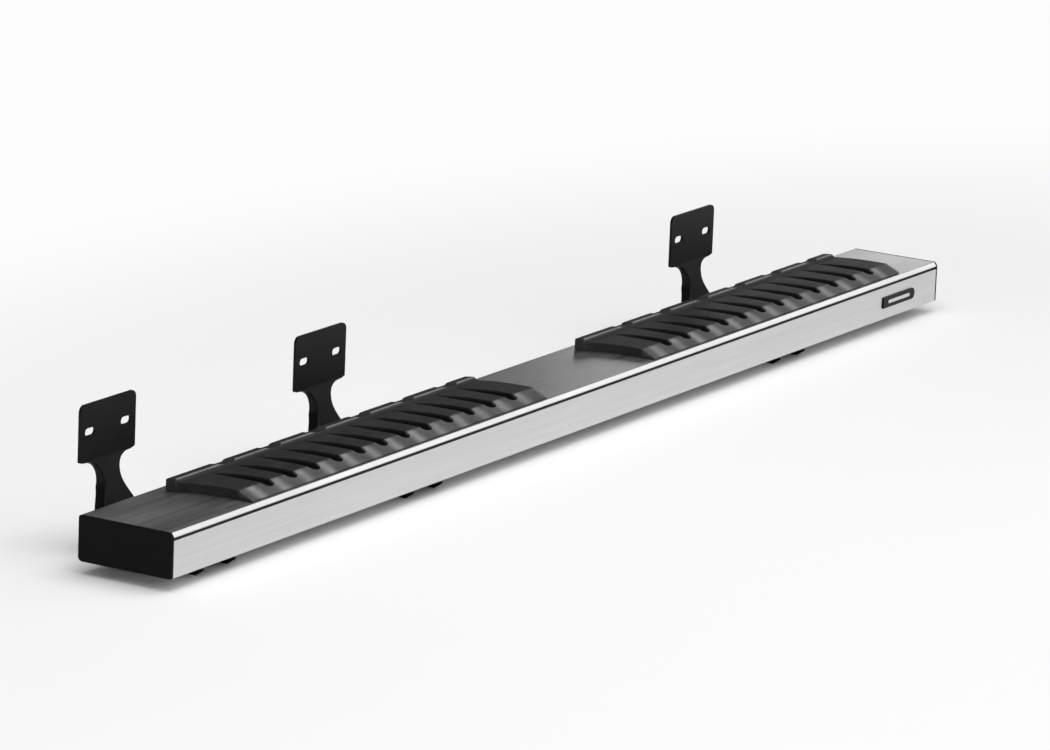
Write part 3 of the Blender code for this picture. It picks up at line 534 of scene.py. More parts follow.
def gloss_black():
    """Glossy black moulding with faint wiping marks."""
    return clouded("gloss_black", shade(0.004, 0.005), metallic=0.0, roughness=0.18, specular=0.10,
                   cloud=((60.0, 300.0, 900.0), 4.0), shades=(shade(0.003, 0.004), shade(0.006, 0.007)),
                   dullness=(0.13, 0.24), grain=None, depth=0.00002, strength=0.4)


def satin_silver():
    """Satin silver foil in the small bar."""
    return clouded("satin_silver", shade(0.66, 0.67), metallic=1.0, roughness=0.25,
                   cloud=((40.0, 2500.0, 2500.0), 2.0), shades=(shade(0.60, 0.61), shade(0.72, 0.73)),
                   dullness=(0.20, 0.32), grain=None, depth=0.00002, strength=0.4)


MAKERS = (brushed_aluminium, tread_plastic, cap_plastic, powder_coat, zinc_plate, black_zinc, gloss_black,
          satin_silver)
FINISHES = {maker.__name__: maker() for maker in MAKERS}


# Pieces


def apply_modifiers(piece):
    """Puts the result of the piece's modifiers into its mesh."""
    depsgraph = bpy.context.evaluated_depsgraph_get()
    result = piece.evaluated_get(depsgraph)
    mesh = bpy.data.meshes.new_from_object(result, preserve_all_data_layers=True, depsgraph=depsgraph)
    piece.modifiers.clear()
    piece.data = mesh


def as_object(name, bm, place):
    """The closed mesh, moved to its place, as an object."""
    bmesh.ops.remove_doubles(bm, verts=bm.verts, dist=WELD)
    bmesh.ops.recalc_face_normals(bm, faces=bm.faces)
    bmesh.ops.translate(bm, verts=bm.verts, vec=place)
    mesh = bpy.data.meshes.new(name)
    bm.to_mesh(mesh)
    bm.free()
    piece = bpy.data.objects.new(name, mesh)
    bpy.context.scene.collection.objects.link(piece)
    return piece


def add_piece(node, bm, place, cuts=None, edge=0.0, sharp=30):
    """Makes the finer piece for one node: cut by another mesh, with its sharp edges broken. Edges that turn
    by more than the sharp angle, in degrees, are shaded sharp."""
    piece = as_object("fine_" + node, bm, place)
    if cuts:
        tool = as_object(node + "_cuts", cuts, place)
        modifier = piece.modifiers.new("cuts", "BOOLEAN")
        modifier.operation = "DIFFERENCE"
        modifier.object = tool
        modifier.solver = "EXACT"
        # Shells of one mesh may overlap, such as a cap and its spigots
        modifier.use_self = True
        apply_modifiers(piece)
        bpy.data.objects.remove(tool, do_unlink=True)
    if edge:
        modifier = piece.modifiers.new("edges", "BEVEL")
        modifier.limit_method = "ANGLE"
        modifier.angle_limit = CUT_ANGLE
        modifier.width = edge
        modifier.segments = CUT_SEGMENTS
        apply_modifiers(piece)
    piece.data.shade_smooth()
    piece.data.set_sharp_from_angle(angle=math.radians(sharp))
    modifier = piece.modifiers.new("normals", "WEIGHTED_NORMAL")
    modifier.keep_sharp = True
    apply_modifiers(piece)
    slot = next(part["material_slot"] for part in frame["record"]["subparts"] if part["node"] == node)
    piece.data.materials.clear()
    piece.data.materials.append(FINISHES[slot])
    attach(piece, "root")
    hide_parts(node)


# Outlines, whose corners are two coordinates and a radius


def corner_turn(corners, i):
    """The heading of the side that ends at a corner, and how far the outline turns left there."""
    before, here, after = corners[i - 1], corners[i], corners[(i + 1) % len(corners)]
    incoming = math.atan2(here[1] - before[1], here[0] - before[0])
    outgoing = math.atan2(after[1] - here[1], after[0] - here[0])
    return incoming, (outgoing - incoming + math.pi) % (2 * math.pi) - math.pi


def rounded(corners):
    """The outline through these corners, with an arc at each one that has a radius."""
    outline = []
    for i, (a, b, radius) in enumerate(corners):
        incoming, turn = corner_turn(corners, i)
        if radius <= 0 or abs(turn) < SMALL_TURN:
            outline.append((a, b))
            continue
        back = radius * math.tan(abs(turn) / 2)
        start = (a - back * math.cos(incoming), b - back * math.sin(incoming))
        reach = math.copysign(radius, turn)
        steps = max(2, math.ceil(abs(turn) / ARC_STEP - SMALL_TURN))
        for k in range(steps + 1):
            heading = incoming + turn * k / steps
            outline.append((start[0] + reach * (math.sin(heading) - math.sin(incoming)),
                            start[1] + reach * (math.cos(incoming) - math.cos(heading))))
    return outline


def inset(corners, distance):
    """The corners moved inward by a distance, for an outline that runs anticlockwise."""
    moved = []
    for i, (a, b, radius) in enumerate(corners):
        incoming, turn = corner_turn(corners, i)
        middle = incoming + turn / 2
        reach = distance / math.cos(turn / 2)
        left_over = radius - math.copysign(distance, turn) if radius > 0 else 0.0
        moved.append((a - reach * math.sin(middle), b + reach * math.cos(middle), max(left_over, 0.0)))
    return moved


def obround(centre, length, height):
    """An outline with straight sides and half-round ends."""
    half = (length - height) / 2
    steps = int(math.pi / ARC_STEP)
    outline = []
    for end in (1, -1):
        for k in range(steps + 1):
            angle = math.pi * (k / steps - 0.5) + (0 if end > 0 else math.pi)
            outline.append((centre[0] + end * half + height / 2 * math.cos(angle),
                            centre[1] + height / 2 * math.sin(angle)))
    return outline


# Solids: the next three turn an outline's two coordinates and a depth into a point


def along_x(a, b, depth):
    return (depth, a, b)


def along_y(a, b, depth):
    return (a, depth, b)


def along_z(a, b, depth):
    return (a, b, depth)


def prism(outline, holes, start, end, axis, bm=None):
    """A straight bar of this outline, with its holes running right through."""
    bm = bm or bmesh.new()
    caps = {start: [], end: []}
    for loop in [outline, *holes]:
        rings = {depth: [bm.verts.new(axis(a, b, depth)) for a, b in loop] for depth in (start, end)}
        for i in range(len(loop)):
            j = (i + 1) % len(loop)
            bm.faces.new((rings[start][i], rings[start][j], rings[end][j], rings[end][i]))
        for depth, ring in rings.items():
            caps[depth] += [bm.edges.get((ring[i], ring[i - 1])) for i in range(len(ring))]
    for edges in caps.values():
        bmesh.ops.triangle_fill(bm, use_beauty=True, use_dissolve=False, edges=edges)
    return bm


def loft(sections, bm=None, ring=False):
    """A skin over sections with one count of points, closed at both ends or, for a ring, on itself."""
    bm = bm or bmesh.new()
    rings = [[bm.verts.new(point) for point in section] for section in sections]
    uppers = rings[1:] + rings[:1] if ring else rings[1:]
    for lower, upper in zip(rings, uppers):
        for i in range(len(lower)):
            j = (i + 1) % len(lower)
            bm.faces.new((lower[i], lower[j], upper[j], upper[i]))
    if not ring:
        bm.faces.new(rings[0])
        bm.faces.new(rings[-1])
    return bm


def ring_of(radii, height):
    """A closed ring of points about Z, one for each of these radii."""
    angles = [2 * math.pi * k / len(radii) for k in range(len(radii))]
    return [(radius * math.cos(angle), radius * math.sin(angle), height)
            for radius, angle in zip(radii, angles)]


def circle(radius, height, sides=ROUND_SIDES):
    """A level circle about Z."""
    return ring_of([radius] * sides, height)


def turned(profile, x=0.0, y=0.0, bm=None, sides=ROUND_SIDES):
    """A solid of revolution about an upright axis from radius and height pairs, closed by flat ends."""
    return loft([[(x + a, y + b, z) for a, b, z in circle(radius, height, sides)]
                 for radius, height in profile], bm)


def quarter_turns(steps):
    """Angles in even steps over a quarter of a circle."""
    return [math.pi / 2 * k / steps for k in range(steps + 1)]


def quarter(radius, steps=EDGE_ROWS):
    """Pairs round a quarter of a circle: how far in from the edge, and how far down from the top."""
    return [(radius * (1 - math.cos(turn)), radius * (1 - math.sin(turn))) for turn in quarter_turns(steps)]


def soft_step(share):
    """The share from 0 to 1, with a soft start and end."""
    share = min(max(share, 0.0), 1.0)
    return share * share * (3 - 2 * share)


# The board: Y and Z of its section are counted from the middle of its underside


def envelope_corners():
    """The outside of the section without its slots and groove, as the end caps follow it."""
    half = BOARD_WIDTH / 2
    return [
        (-half, 0.0, EDGE_RADIUS),
        (half, 0.0, BELLY_RADIUS),
        (half, BOARD_HEIGHT, EDGE_RADIUS),
        (-half + BEVEL_WIDTH, BOARD_HEIGHT, INNER_RADIUS),
        (-half, BOARD_HEIGHT - BEVEL_DROP, INNER_RADIUS),
    ]


def slot_corners(middle):
    """One underside slot: in through its mouth, round its channel and out again."""
    mouth, channel = SLOT_MOUTH / 2, SLOT_CHANNEL / 2
    side = [(mouth, 0.0), (mouth, SLOT_LIP), (channel, SLOT_LIP), (channel, SLOT_ROOF)]
    way_in = [(middle - a, b, TINY_RADIUS) for a, b in side]
    way_out = [(middle + a, b, TINY_RADIUS) for a, b in reversed(side)]
    return way_in + way_out


def section_corners():
    """The outside of the section with its slots, its bevel and the groove under the bevel."""
    half = BOARD_WIDTH / 2
    low_outboard, low_inboard, top_inboard, top_bevel, low_bevel = envelope_corners()
    line_top = BOARD_HEIGHT - LINE_DROP
    edge = LINE_DRAFT / 2
    return [
        low_outboard,
        *slot_corners(-SLOT_SPACING / 2),
        *slot_corners(SLOT_SPACING / 2),
        low_inboard,
        top_inboard,
        top_bevel,
        low_bevel,
        (-half, line_top, edge),
        (-half + LINE_DEPTH, line_top - LINE_DRAFT, edge),
        (-half + LINE_DEPTH, line_top - LINE_HEIGHT + LINE_DRAFT, edge),
        (-half, line_top - LINE_HEIGHT, edge),
    ]


def side_chamber(outboard):
    """One of the two outer hollows, between the side wall, the slot housing and the web over it."""
    side = BOARD_WIDTH / 2 - BOARD_WALL
    if not outboard:
        return [
            (HOUSING_OUTER, BOARD_WALL, INNER_RADIUS),
            (side, BOARD_WALL, BELLY_RADIUS - BOARD_WALL),
            (side, CEILING, INNER_RADIUS),
            (WEB_OUTER, CEILING, INNER_RADIUS),
            (WEB_OUTER, HOUSING_ROOF, INNER_RADIUS),
            (HOUSING_OUTER, HOUSING_ROOF, INNER_RADIUS),
        ]
    line_bottom = BOARD_HEIGHT - LINE_DROP - LINE_HEIGHT
    return [
        (-side, BOARD_WALL, INNER_RADIUS),
        (-HOUSING_OUTER, BOARD_WALL, INNER_RADIUS),
        (-HOUSING_OUTER, HOUSING_ROOF, INNER_RADIUS),
        (-WEB_OUTER, HOUSING_ROOF, INNER_RADIUS),
        (-WEB_OUTER, CEILING, INNER_RADIUS),
        (-side + BEVEL_WIDTH, CEILING, 0.0),
        (-side + LINE_DEPTH, BOARD_HEIGHT - BEVEL_DROP, 0.0),
        (-side + LINE_DEPTH, line_bottom - LINE_DEPTH, 0.0),
        (-side, line_bottom - 2 * LINE_DEPTH, 0.0),
    ]


def middle_chamber():
    """The wide hollow between the two webs, narrower at its floor between the slot housings."""
    return [
        (-HOUSING_INNER, BOARD_WALL, INNER_RADIUS),
        (HOUSING_INNER, BOARD_WALL, INNER_RADIUS),
        (HOUSING_INNER, HOUSING_ROOF, INNER_RADIUS),
        (WEB_INNER, HOUSING_ROOF, INNER_RADIUS),
        (WEB_INNER, CEILING, INNER_RADIUS),
        (-WEB_INNER, CEILING, INNER_RADIUS),
        (-WEB_INNER, HOUSING_ROOF, INNER_RADIUS),
        (-HOUSING_INNER, HOUSING_ROOF, INNER_RADIUS),
    ]


def peg_places(pad):
    """Where the pegs of a pad pass through the board's top: X, and Y from the middle of the board."""
    start = FRONT_END + PAD_START + pad * PAD_STEP + PEG_INSET
    step = (PAD_LENGTH - 2 * PEG_INSET) / (PEG_COUNT - 1)
    width = BOARD_WIDTH - PAD_OUTBOARD_MARGIN - PAD_INBOARD_MARGIN
    row_middle = PAD_OUTBOARD_MARGIN + width / 2 - BOARD_WIDTH / 2
    return [(start + k * step, row_middle + side * PEG_ROW_SPACING / 2)
            for k in range(PEG_COUNT) for side in (-1, 1)]


def cap_screw_places(end):
    """The end cap screws of one end: X, and Y from the middle of the board."""
    x = -end * (FRONT_END + CAP_SCREW_INSET)
    return [(x, side * (HOUSING_INNER - CAP_SCREW_TO_HOUSING)) for side in (-1, 1)]


def add_drill(bm, x, y, radius, low, high):
    """Adds an upright round cutter to a mesh."""
    turned([(radius, low), (radius, high)], x, y, bm)


def build_board():
    """The hollow section, with the peg holes in its top and the screw holes in its floor."""
    chambers = [rounded(chamber) for chamber in (side_chamber(True), middle_chamber(), side_chamber(False))]
    bm = prism(rounded(section_corners()), chambers, board_low.x, board_high.x, along_x)
    # Painted shade inside the groove under the bevel, fading in just inside its mouth
    recess = bm.verts.layers.float.new("recess")
    line_top = BOARD_HEIGHT - LINE_DROP
    for vertex in bm.verts:
        inward = vertex.co.y + BOARD_WIDTH / 2
        in_line = line_top - LINE_HEIGHT <= vertex.co.z <= line_top and inward < LINE_DEPTH + WELD
        vertex[recess] = soft_step(inward / LINE_DRAFT) if in_line else 0.0
    holes = bmesh.new()
    low, high = BOARD_HEIGHT - 2 * BOARD_WALL, BOARD_HEIGHT + BOARD_WALL
    for x, y in peg_places(0) + peg_places(1):
        add_drill(holes, x, y, PEG_RADIUS + SEAT_GAP, low, high)
    for x, y in cap_screw_places(-1) + cap_screw_places(1):
        add_drill(holes, x, y, CAP_SCREW_RADIUS + FIT_GAP, -BOARD_WALL, 2 * BOARD_WALL)
    add_piece("board_extrusion", bm, BOARD_PLACE, holes, sharp=20)


# End caps


def build_cap(node, end):
    """A flush end plate with a rounded rim and three spigots; end is -1 in front and 1 behind."""
    low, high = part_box(node)
    outer, depth = (low[0], high[0]) if end < 0 else (high[0], low[0])
    inner = outer - end * CAP_THICKNESS
    sections = [[along_x(a, b, outer - end * down) for a, b in rounded(inset(envelope_corners(), into))]
                for into, down in reversed(quarter(CAP_EDGE))]
    sections.append([along_x(a, b, inner) for a, b in rounded(envelope_corners())])
    bm = loft(sections)
    web = WEB_INNER - FIT_GAP - SPIGOT_WALL
    floor = HOUSING_ROOF + FIT_GAP + SPIGOT_WALL
    ceiling = CEILING - FIT_GAP - SPIGOT_WALL
    well = [(-web, floor, 0.0), (web, floor, 0.0), (web, ceiling, 0.0), (-web, ceiling, 0.0)]
    # The middle spigot has a well of its own, and the other two follow their hollows
    hollows = ((side_chamber(True), None), (middle_chamber(), well), (side_chamber(False), None))
    for chamber, inside in hollows:
        inside = inside or inset(chamber, FIT_GAP + SPIGOT_WALL)
        outside = inset(chamber, FIT_GAP)
        prism(rounded(outside), [rounded(inside)], (outer + inner) / 2, depth, along_x, bm)
    pilots = bmesh.new()
    for x, y in cap_screw_places(end):
        add_drill(pilots, x, y, CAP_SCREW_RADIUS + FIT_GAP, 0.0, BOARD_WALL + CAP_SCREW_LENGTH)
    add_piece(node, bm, BOARD_PLACE, pilots)


def cross_outline(length, width):
    """A plus sign, as the recess of a cross-head screw."""
    a, b = length / 2, width / 2
    outline = [(a, -b), (a, b), (b, b)]
    for _ in range(3):
        outline += [(-y, x) for x, y in outline[-3:]]
    return outline


def build_cap_screw(node, x, y):
    """A pan head screw with a cross recess, pointing up."""
    face = -SEAT_GAP - CAP_SCREW_HEAD_HEIGHT
    dome = [(CAP_SCREW_HEAD_RADIUS * math.sin(turn), face + CAP_SCREW_DOME * (1 - math.cos(turn)))
            for turn in quarter_turns(CORNER_ROWS)[DOME_START:]]
    shank = [
        (CAP_SCREW_HEAD_RADIUS, -SEAT_GAP),
        (CAP_SCREW_RADIUS, -SEAT_GAP),
        (CAP_SCREW_RADIUS, CAP_SCREW_LENGTH - CAP_SCREW_RADIUS),
        (CAP_SCREW_POINT_RADIUS, CAP_SCREW_LENGTH),
    ]
    outline = cross_outline(RECESS_LENGTH, RECESS_WIDTH)
    cross = prism(outline, [], face - RECESS_DEPTH, face + RECESS_DEPTH, along_z)
    add_piece(node, turned(dome + shank), BOARD_PLACE + Vector((x, y, 0.0)), cross, sharp=35)


# Tread pads: along counts from the front end of the pad, across from the outboard face of the board


def crescent(across):
    """How far a crescent line lies forward of its rearmost point, as a negative number."""
    return math.sqrt(CRESCENT_RADIUS ** 2 - (across - CRESCENT_CENTRE) ** 2) - CRESCENT_RADIUS


def pad_edges():
    """Across: the outboard edge, the nose's top, the foot of the ramp, the lip and the inboard edge."""
    inboard = BOARD_WIDTH - PAD_INBOARD_MARGIN
    lip = inboard - TOE_LIP_WIDTH
    return PAD_OUTBOARD_MARGIN, PAD_OUTBOARD_MARGIN + NOSE_WIDTH, lip - TOE_LIP_RAMP, lip, inboard


def groove_ends():
    """Across: the blunt outboard end and the inboard tip of every groove."""
    outboard, _, toe, _, _ = pad_edges()
    return outboard + GROOVE_NOSE_MARGIN, toe - GROOVE_TOE_MARGIN


def pad_crest():
    """The top of the pad's cross section, from its outboard edge to its inboard edge: across and height."""
    outboard, nose, toe, lip, inboard = pad_edges()
    outline = rounded([
        (inboard, 0.0, 0.0),
        (inboard, TOE_LIP_HEIGHT, PAD_EDGE),
        (lip, TOE_LIP_HEIGHT, TOE_LIP_RADIUS),
        (toe, TREAD_HEIGHT_INBOARD, TOE_LIP_RADIUS),
        (nose, TREAD_HEIGHT_OUTBOARD, NOSE_RADIUS),
        (outboard, PAD_RIM, PAD_RIM_EDGE),
        (outboard, 0.0, 0.0),
    ])
    return [point for point in reversed(outline) if point[1] > 0]


def height_on(crest, across):
    """The height of the crest at a place between two of its points."""
    for (left, low), (right, high) in zip(crest, crest[1:]):
        if left <= across <= right and right > left:
            return low + (high - low) * (across - left) / (right - left)
    return crest[-1][1]


def pad_rows():
    """The rows along the pad: those of its crest and those that its grooves need."""
    crest = pad_crest()
    blunt, tip = groove_ends()
    places = [blunt + GROOVE_ROUND * (1 - math.cos(turn)) for turn in quarter_turns(BLUNT_ROWS)]
    start = places[-1]
    places += [start + (tip - start) * k / TREAD_ROWS for k in range(1, TREAD_ROWS + 1)]
    lip = pad_edges()[3]
    places += [lip - TOE_LIP_RAMP / 2, lip + TOE_LIP_RAMP / 2]
    rows = crest + [(across, height_on(crest, across)) for across in places]
    # Rows at one place go up the outboard edge and down the inboard edge
    return sorted(rows, key=lambda row: (row[0], row[1] if row[0] < tip else -row[1]))


def groove_shape(across, height):
    """Half the width and the depth of a groove: blunt and deep outboard, fading out at its tip."""
    blunt, tip = groove_ends()
    if not blunt < across < tip:
        return GROOVE_TIP_HALF_WIDTH, 0.0
    rounding = min(1.0, (across - blunt) / GROOVE_ROUND)
    taper = max(0.0, (across - blunt - GROOVE_ROUND) / (tip - blunt - GROOVE_ROUND))
    swell = math.sqrt(1 - (1 - rounding) ** 2) * (1 - taper ** GROOVE_TAPER)
    half = GROOVE_TIP_HALF_WIDTH + (GROOVE_HALF_WIDTH - GROOVE_TIP_HALF_WIDTH) * swell
    fade = soft_step((across - blunt) / GROOVE_ENTRY) * min(1.0, (tip - across) / GROOVE_RISE)
    return half, (height - GROOVE_FLOOR) * fade


def first_groove():
    """The middle of the groove nearest the front end of the pad."""
    return (PAD_LENGTH - (GROOVE_COUNT - 1) * GROOVE_PITCH) / 2


def nose_highlight(along):
    """How strong the painted highlight on the nose is: most a little behind the blunt end of each groove."""
    phase = (along - first_groove()) / GROOVE_PITCH % 1.0
    closeness = soft_step(1 - abs(phase - NOSE_HIGHLIGHT_PLACE) / NOSE_HIGHLIGHT_SPREAD)
    return NOSE_HIGHLIGHT_LEAST + (1 - NOSE_HIGHLIGHT_LEAST) * closeness


def land_points(left, right, height, crown):
    """Points of a row over the land between two grooves, a little higher in its middle."""
    shares = [column / (LAND_COLUMNS + 1) for column in range(1, LAND_COLUMNS + 1)]
    return [(left + (right - left) * share, height + crown * math.sin(math.pi * share), 0.0)
            for share in shares]


def pad_row_points(across, height):
    """One row along the pad, over its grooves or stepped lip: place, height and how deep in a groove, which
    sets the painted shade there.
    """
    half, depth = groove_shape(across, height)
    draft = min(GROOVE_DRAFT, half / 2)
    lip_share = (height - TREAD_HEIGHT_INBOARD) / (TOE_LIP_HEIGHT - TREAD_HEIGHT_INBOARD)
    on_lip = lip_share > 0
    if on_lip:
        half += (TOE_LIP_LOW_LENGTH / 2 - half) * lip_share
        draft += (TOE_LIP_STEP - draft) * lip_share
        depth = (TOE_LIP_HEIGHT - TOE_LIP_LOW_HEIGHT) * lip_share
    crown = 0.0 if on_lip or across <= pad_edges()[1] else TREAD_CROWN
    # Painted shade goes in the grooves only, not on the lip's low steps
    dark = 0.0 if on_lip else 1.0
    end_height = max(height - PAD_EDGE, PAD_RIM - PAD_EDGE / 2)
    if height < end_height:
        end_height = height - PAD_RIM_EDGE
    rise = height - end_height
    end = [(along, end_height + rise * (1 - into / PAD_EDGE)) for along, into in quarter(PAD_EDGE)]
    points = [(along, z, 0.0) for along, z in end]
    for k in range(GROOVE_COUNT):
        middle = first_groove() + k * GROOVE_PITCH
        points += land_points(points[-1][0], middle - half, height, crown if k > 0 else 0.0)
        # On the lip every other groove is a low step instead
        deep = depth if not on_lip or k % 2 == 1 else 0.0
        wall = [(half - draft * share, deep * soft_step(share)) for share in WALL_SHARES]
        way_down = [(-offset, drop) for offset, drop in wall]
        points += [(middle + offset, height - drop, dark * soft_step(drop / GROOVE_FLOOR))
                   for offset, drop in [*way_down, (0.0, deep), *reversed(wall)]]
    points += land_points(points[-1][0], PAD_LENGTH - PAD_EDGE, height, 0.0)
    return points + [(PAD_LENGTH - along, z, 0.0) for along, z in reversed(end)]


def build_pad(node, number):
    """A wedge-shaped tread with crescent grooves, a toe lip and snap pegs on its underside."""
    start = FRONT_END + PAD_START + number * PAD_STEP
    base = BOARD_HEIGHT + SEAT_GAP
    _, nose_top, _, lip, _ = pad_edges()
    bm = bmesh.new()
    recess = bm.verts.layers.float.new("recess")
    painted_highlight = bm.verts.layers.float.new("painted_highlight")
    rows = []
    for across, height in pad_rows():
        on_nose = 1 - soft_step((across - nose_top + NOSE_RADIUS / 2) / NOSE_RADIUS)
        by_lip = soft_step(1 - 2 * abs(across - lip) / TOE_LIP_RAMP)
        row = []
        for along, z, deep in pad_row_points(across, height):
            vertex = bm.verts.new((start + along + crescent(across), across - BOARD_WIDTH / 2, base + z))
            # Painted shade in the grooves, by how deep the point lies
            vertex[recess] = deep
            high = soft_step((z - TOE_LIP_LOW_HEIGHT) / (TOE_LIP_HEIGHT - TOE_LIP_LOW_HEIGHT))
            # Painted highlight on the nose behind each groove's blunt end, and along the top of the lip's
            # high stretches
            vertex[painted_highlight] = max(on_nose * nose_highlight(along), by_lip * high)
            row.append(vertex)
        rows.append(row)
    for near, far in zip(rows, rows[1:]):
        for i in range(len(near) - 1):
            bm.faces.new((near[i], near[i + 1], far[i + 1], far[i]))
    rim = rows[0] + [row[-1] for row in rows[1:-1]] + rows[-1][::-1] + [row[0] for row in rows[-2:0:-1]]
    foot = [bm.verts.new((vertex.co.x, vertex.co.y, base)) for vertex in rim]
    for i in range(len(rim)):
        j = (i + 1) % len(rim)
        bm.faces.new((rim[i], rim[j], foot[j], foot[i]))
    bm.faces.new(foot)
    neck = BOARD_HEIGHT - BOARD_WALL - SEAT_GAP
    profile = [
        (PEG_RADIUS - PEG_BARB, neck - PEG_BARB_LENGTH),
        (PEG_RADIUS + PEG_BARB, neck - PEG_BARB),
        (PEG_RADIUS + PEG_BARB, neck),
        (PEG_RADIUS, neck),
        (PEG_RADIUS, base + PAD_RIM / 2),
    ]
    for x, y in peg_places(number):
        turned(profile, x, y, bm, ROUND_SIDES // 2)
    add_piece(node, bm, BOARD_PLACE, sharp=50)


# Plate on the outboard face


def badge_outline(length, height, front_radius, middle):
    """A strip that is square at its front end and round at its rear end: X and Z."""
    half = height / 2
    front, rear = middle[0] - length / 2, middle[0] + length / 2 - half
    top, bottom = middle[1] + half, middle[1] - half
    outline = rounded([(rear, top, 0.0), (front, top, front_radius),
                       (front, bottom, front_radius), (rear, bottom, 0.0)])
    steps = int(math.pi / ARC_STEP)
    for k in range(1, steps):
        angle = -math.pi / 2 + math.pi * k / steps
        outline.append((rear + half * math.cos(angle), middle[1] + half * math.sin(angle)))
    return outline


def strip(length, height, corner, middle, front, back, edge):
    """A strip of the plate's outline with a rounded front edge."""
    sections = []
    for into, down in reversed(quarter(edge)):
        outline = badge_outline(length - 2 * into, height - 2 * into, max(corner - into, 0.0), middle)
        sections.append([along_y(a, b, front + down) for a, b in outline])
    sections.append([along_y(a, b, back) for a, b in badge_outline(length, height, corner, middle)])
    return loft(sections)


def build_badge():
    """A plain black plate with a plain bar let into it, flush."""
    low, high = (Vector(corner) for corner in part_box("badge_plate"))
    middle = ((low.x + high.x) / 2, (low.z + high.z) / 2)
    front = low.y
    pocket_floor = front + BADGE_BAR_SINK
    plate = strip(BADGE_LENGTH, BADGE_HEIGHT, BADGE_CORNER, middle, front, high.y, BADGE_EDGE)
    hole = badge_outline(BADGE_BAR_LENGTH + 2 * SEAT_GAP, BADGE_BAR_HEIGHT + 2 * SEAT_GAP, 0.0, middle)
    pocket = prism(hole, [], front - BADGE_THICKNESS, pocket_floor, along_y)
    add_piece("badge_plate", plate, Vector(), pocket)
    back = pocket_floor - SEAT_GAP
    bar = strip(BADGE_BAR_LENGTH, BADGE_BAR_HEIGHT, 0.0, middle, front, back, BADGE_BAR_EDGE)
    add_piece("badge_bar", bar, Vector())


# Arms: Y from the middle of the board, Z from the ground, along the board-side face of the sheet


def lower_bend(heading):
    """The point of the bend behind the foot where the face has this heading."""
    return (ARM_BEND_START + ARM_BEND_RADIUS * math.sin(heading),
            ARM_FLANGE + ARM_BEND_RADIUS * (1 - math.cos(heading)))


def on_arm(distance):
    """The point of the sloping face this far above the lower bend."""
    start = lower_bend(ARM_SLOPE)
    return (start[0] + distance * math.cos(ARM_SLOPE), start[1] + distance * math.sin(ARM_SLOPE))


def waist():
    """How far above the lower bend the arm is narrowest."""
    return (board_high.z + WAIST_ABOVE_BOARD - lower_bend(ARM_SLOPE)[1]) / math.sin(ARM_SLOPE)


def top_bend(share):
    """The point and heading part-way round the small bend under the top plate."""
    start = on_arm(waist() + UPPER_FLARE_RADIUS)
    heading = ARM_SLOPE + (math.pi / 2 - ARM_SLOPE) * share
    point = (start[0] + ARM_TOP_BEND_RADIUS * (math.sin(heading) - math.sin(ARM_SLOPE)),
             start[1] + ARM_TOP_BEND_RADIUS * (math.cos(ARM_SLOPE) - math.cos(heading)))
    return point, heading


def mount_plane():
    """The Y of the inboard face of the top plates."""
    return top_bend(1.0)[0][0] + ARM_SHEET


def upper_flare(above):
    """Half the width above the waist, outside and inside the flange, on arcs about one centre."""
    edge = WAIST_WIDTH / 2 + UPPER_FLARE_RADIUS
    return [edge - math.sqrt(max(reach ** 2 - above ** 2, 0.0))
            for reach in (UPPER_FLARE_RADIUS, UPPER_FLARE_RADIUS + ARM_SHEET)]


def lower_flare(below):
    """Half the width below the waist, outside and inside the flange, on a curve with straight ends."""
    gain = (FOOT_WIDTH - WAIST_WIDTH) / 2
    turn = math.pi * below / LOWER_FLARE_LENGTH
    half = WAIST_WIDTH / 2 + gain * (1 - math.cos(turn)) / 2
    steepness = gain * math.sin(turn) * math.pi / (2 * LOWER_FLARE_LENGTH)
    return half, half - ARM_SHEET * math.hypot(1, steepness)


def arm_stations():
    """Path point, heading, half width outside, half width inside and flange depth, from foot to top."""
    tip = -SLOT_SPACING / 2 - FOOT_PAST_SLOT
    foot = (FOOT_WIDTH / 2, FOOT_WIDTH / 2 - ARM_SHEET)
    stations = [((tip, ARM_FLANGE), 0.0, *foot, FOOT_TIP_FLANGE),
                ((tip + FOOT_TIP_LENGTH, ARM_FLANGE), 0.0, *foot, ARM_FLANGE),
                ((ARM_BEND_START, ARM_FLANGE), 0.0, *foot, ARM_FLANGE)]
    bend_steps = math.ceil(ARM_SLOPE / ARC_STEP)
    for k in range(1, bend_steps + 1):
        heading = ARM_SLOPE * k / bend_steps
        stations.append((lower_bend(heading), heading, *foot, ARM_FLANGE))
    for k in range(FLARE_ROWS):
        below = LOWER_FLARE_LENGTH * (1 - k / FLARE_ROWS)
        stations.append((on_arm(waist() - below), ARM_SLOPE, *lower_flare(below), ARM_FLANGE))
    for turn in quarter_turns(FLARE_ROWS):
        above = UPPER_FLARE_RADIUS * math.sin(turn)
        stations.append((on_arm(waist() + above), ARM_SLOPE, *upper_flare(above), ARM_FLANGE))
    for k, turn in enumerate(quarter_turns(CORNER_ROWS), 1):
        width = PLATE_WIDTH / 2 - PLATE_CORNER * (1 - math.sin(turn))
        point, heading = top_bend(k / (CORNER_ROWS + 1))
        stations.append((point, heading, width, width - ARM_SHEET, ARM_SHEET))
    top, _ = top_bend(1.0)
    for turn in quarter_turns(CORNER_ROWS):
        width = PLATE_WIDTH / 2 - PLATE_CORNER * (1 - math.cos(turn))
        point = (top[0], top[1] + PLATE_HEIGHT - PLATE_CORNER * (1 - math.sin(turn)))
        stations.append((point, math.pi / 2, width, width - ARM_SHEET, ARM_SHEET))
    return stations


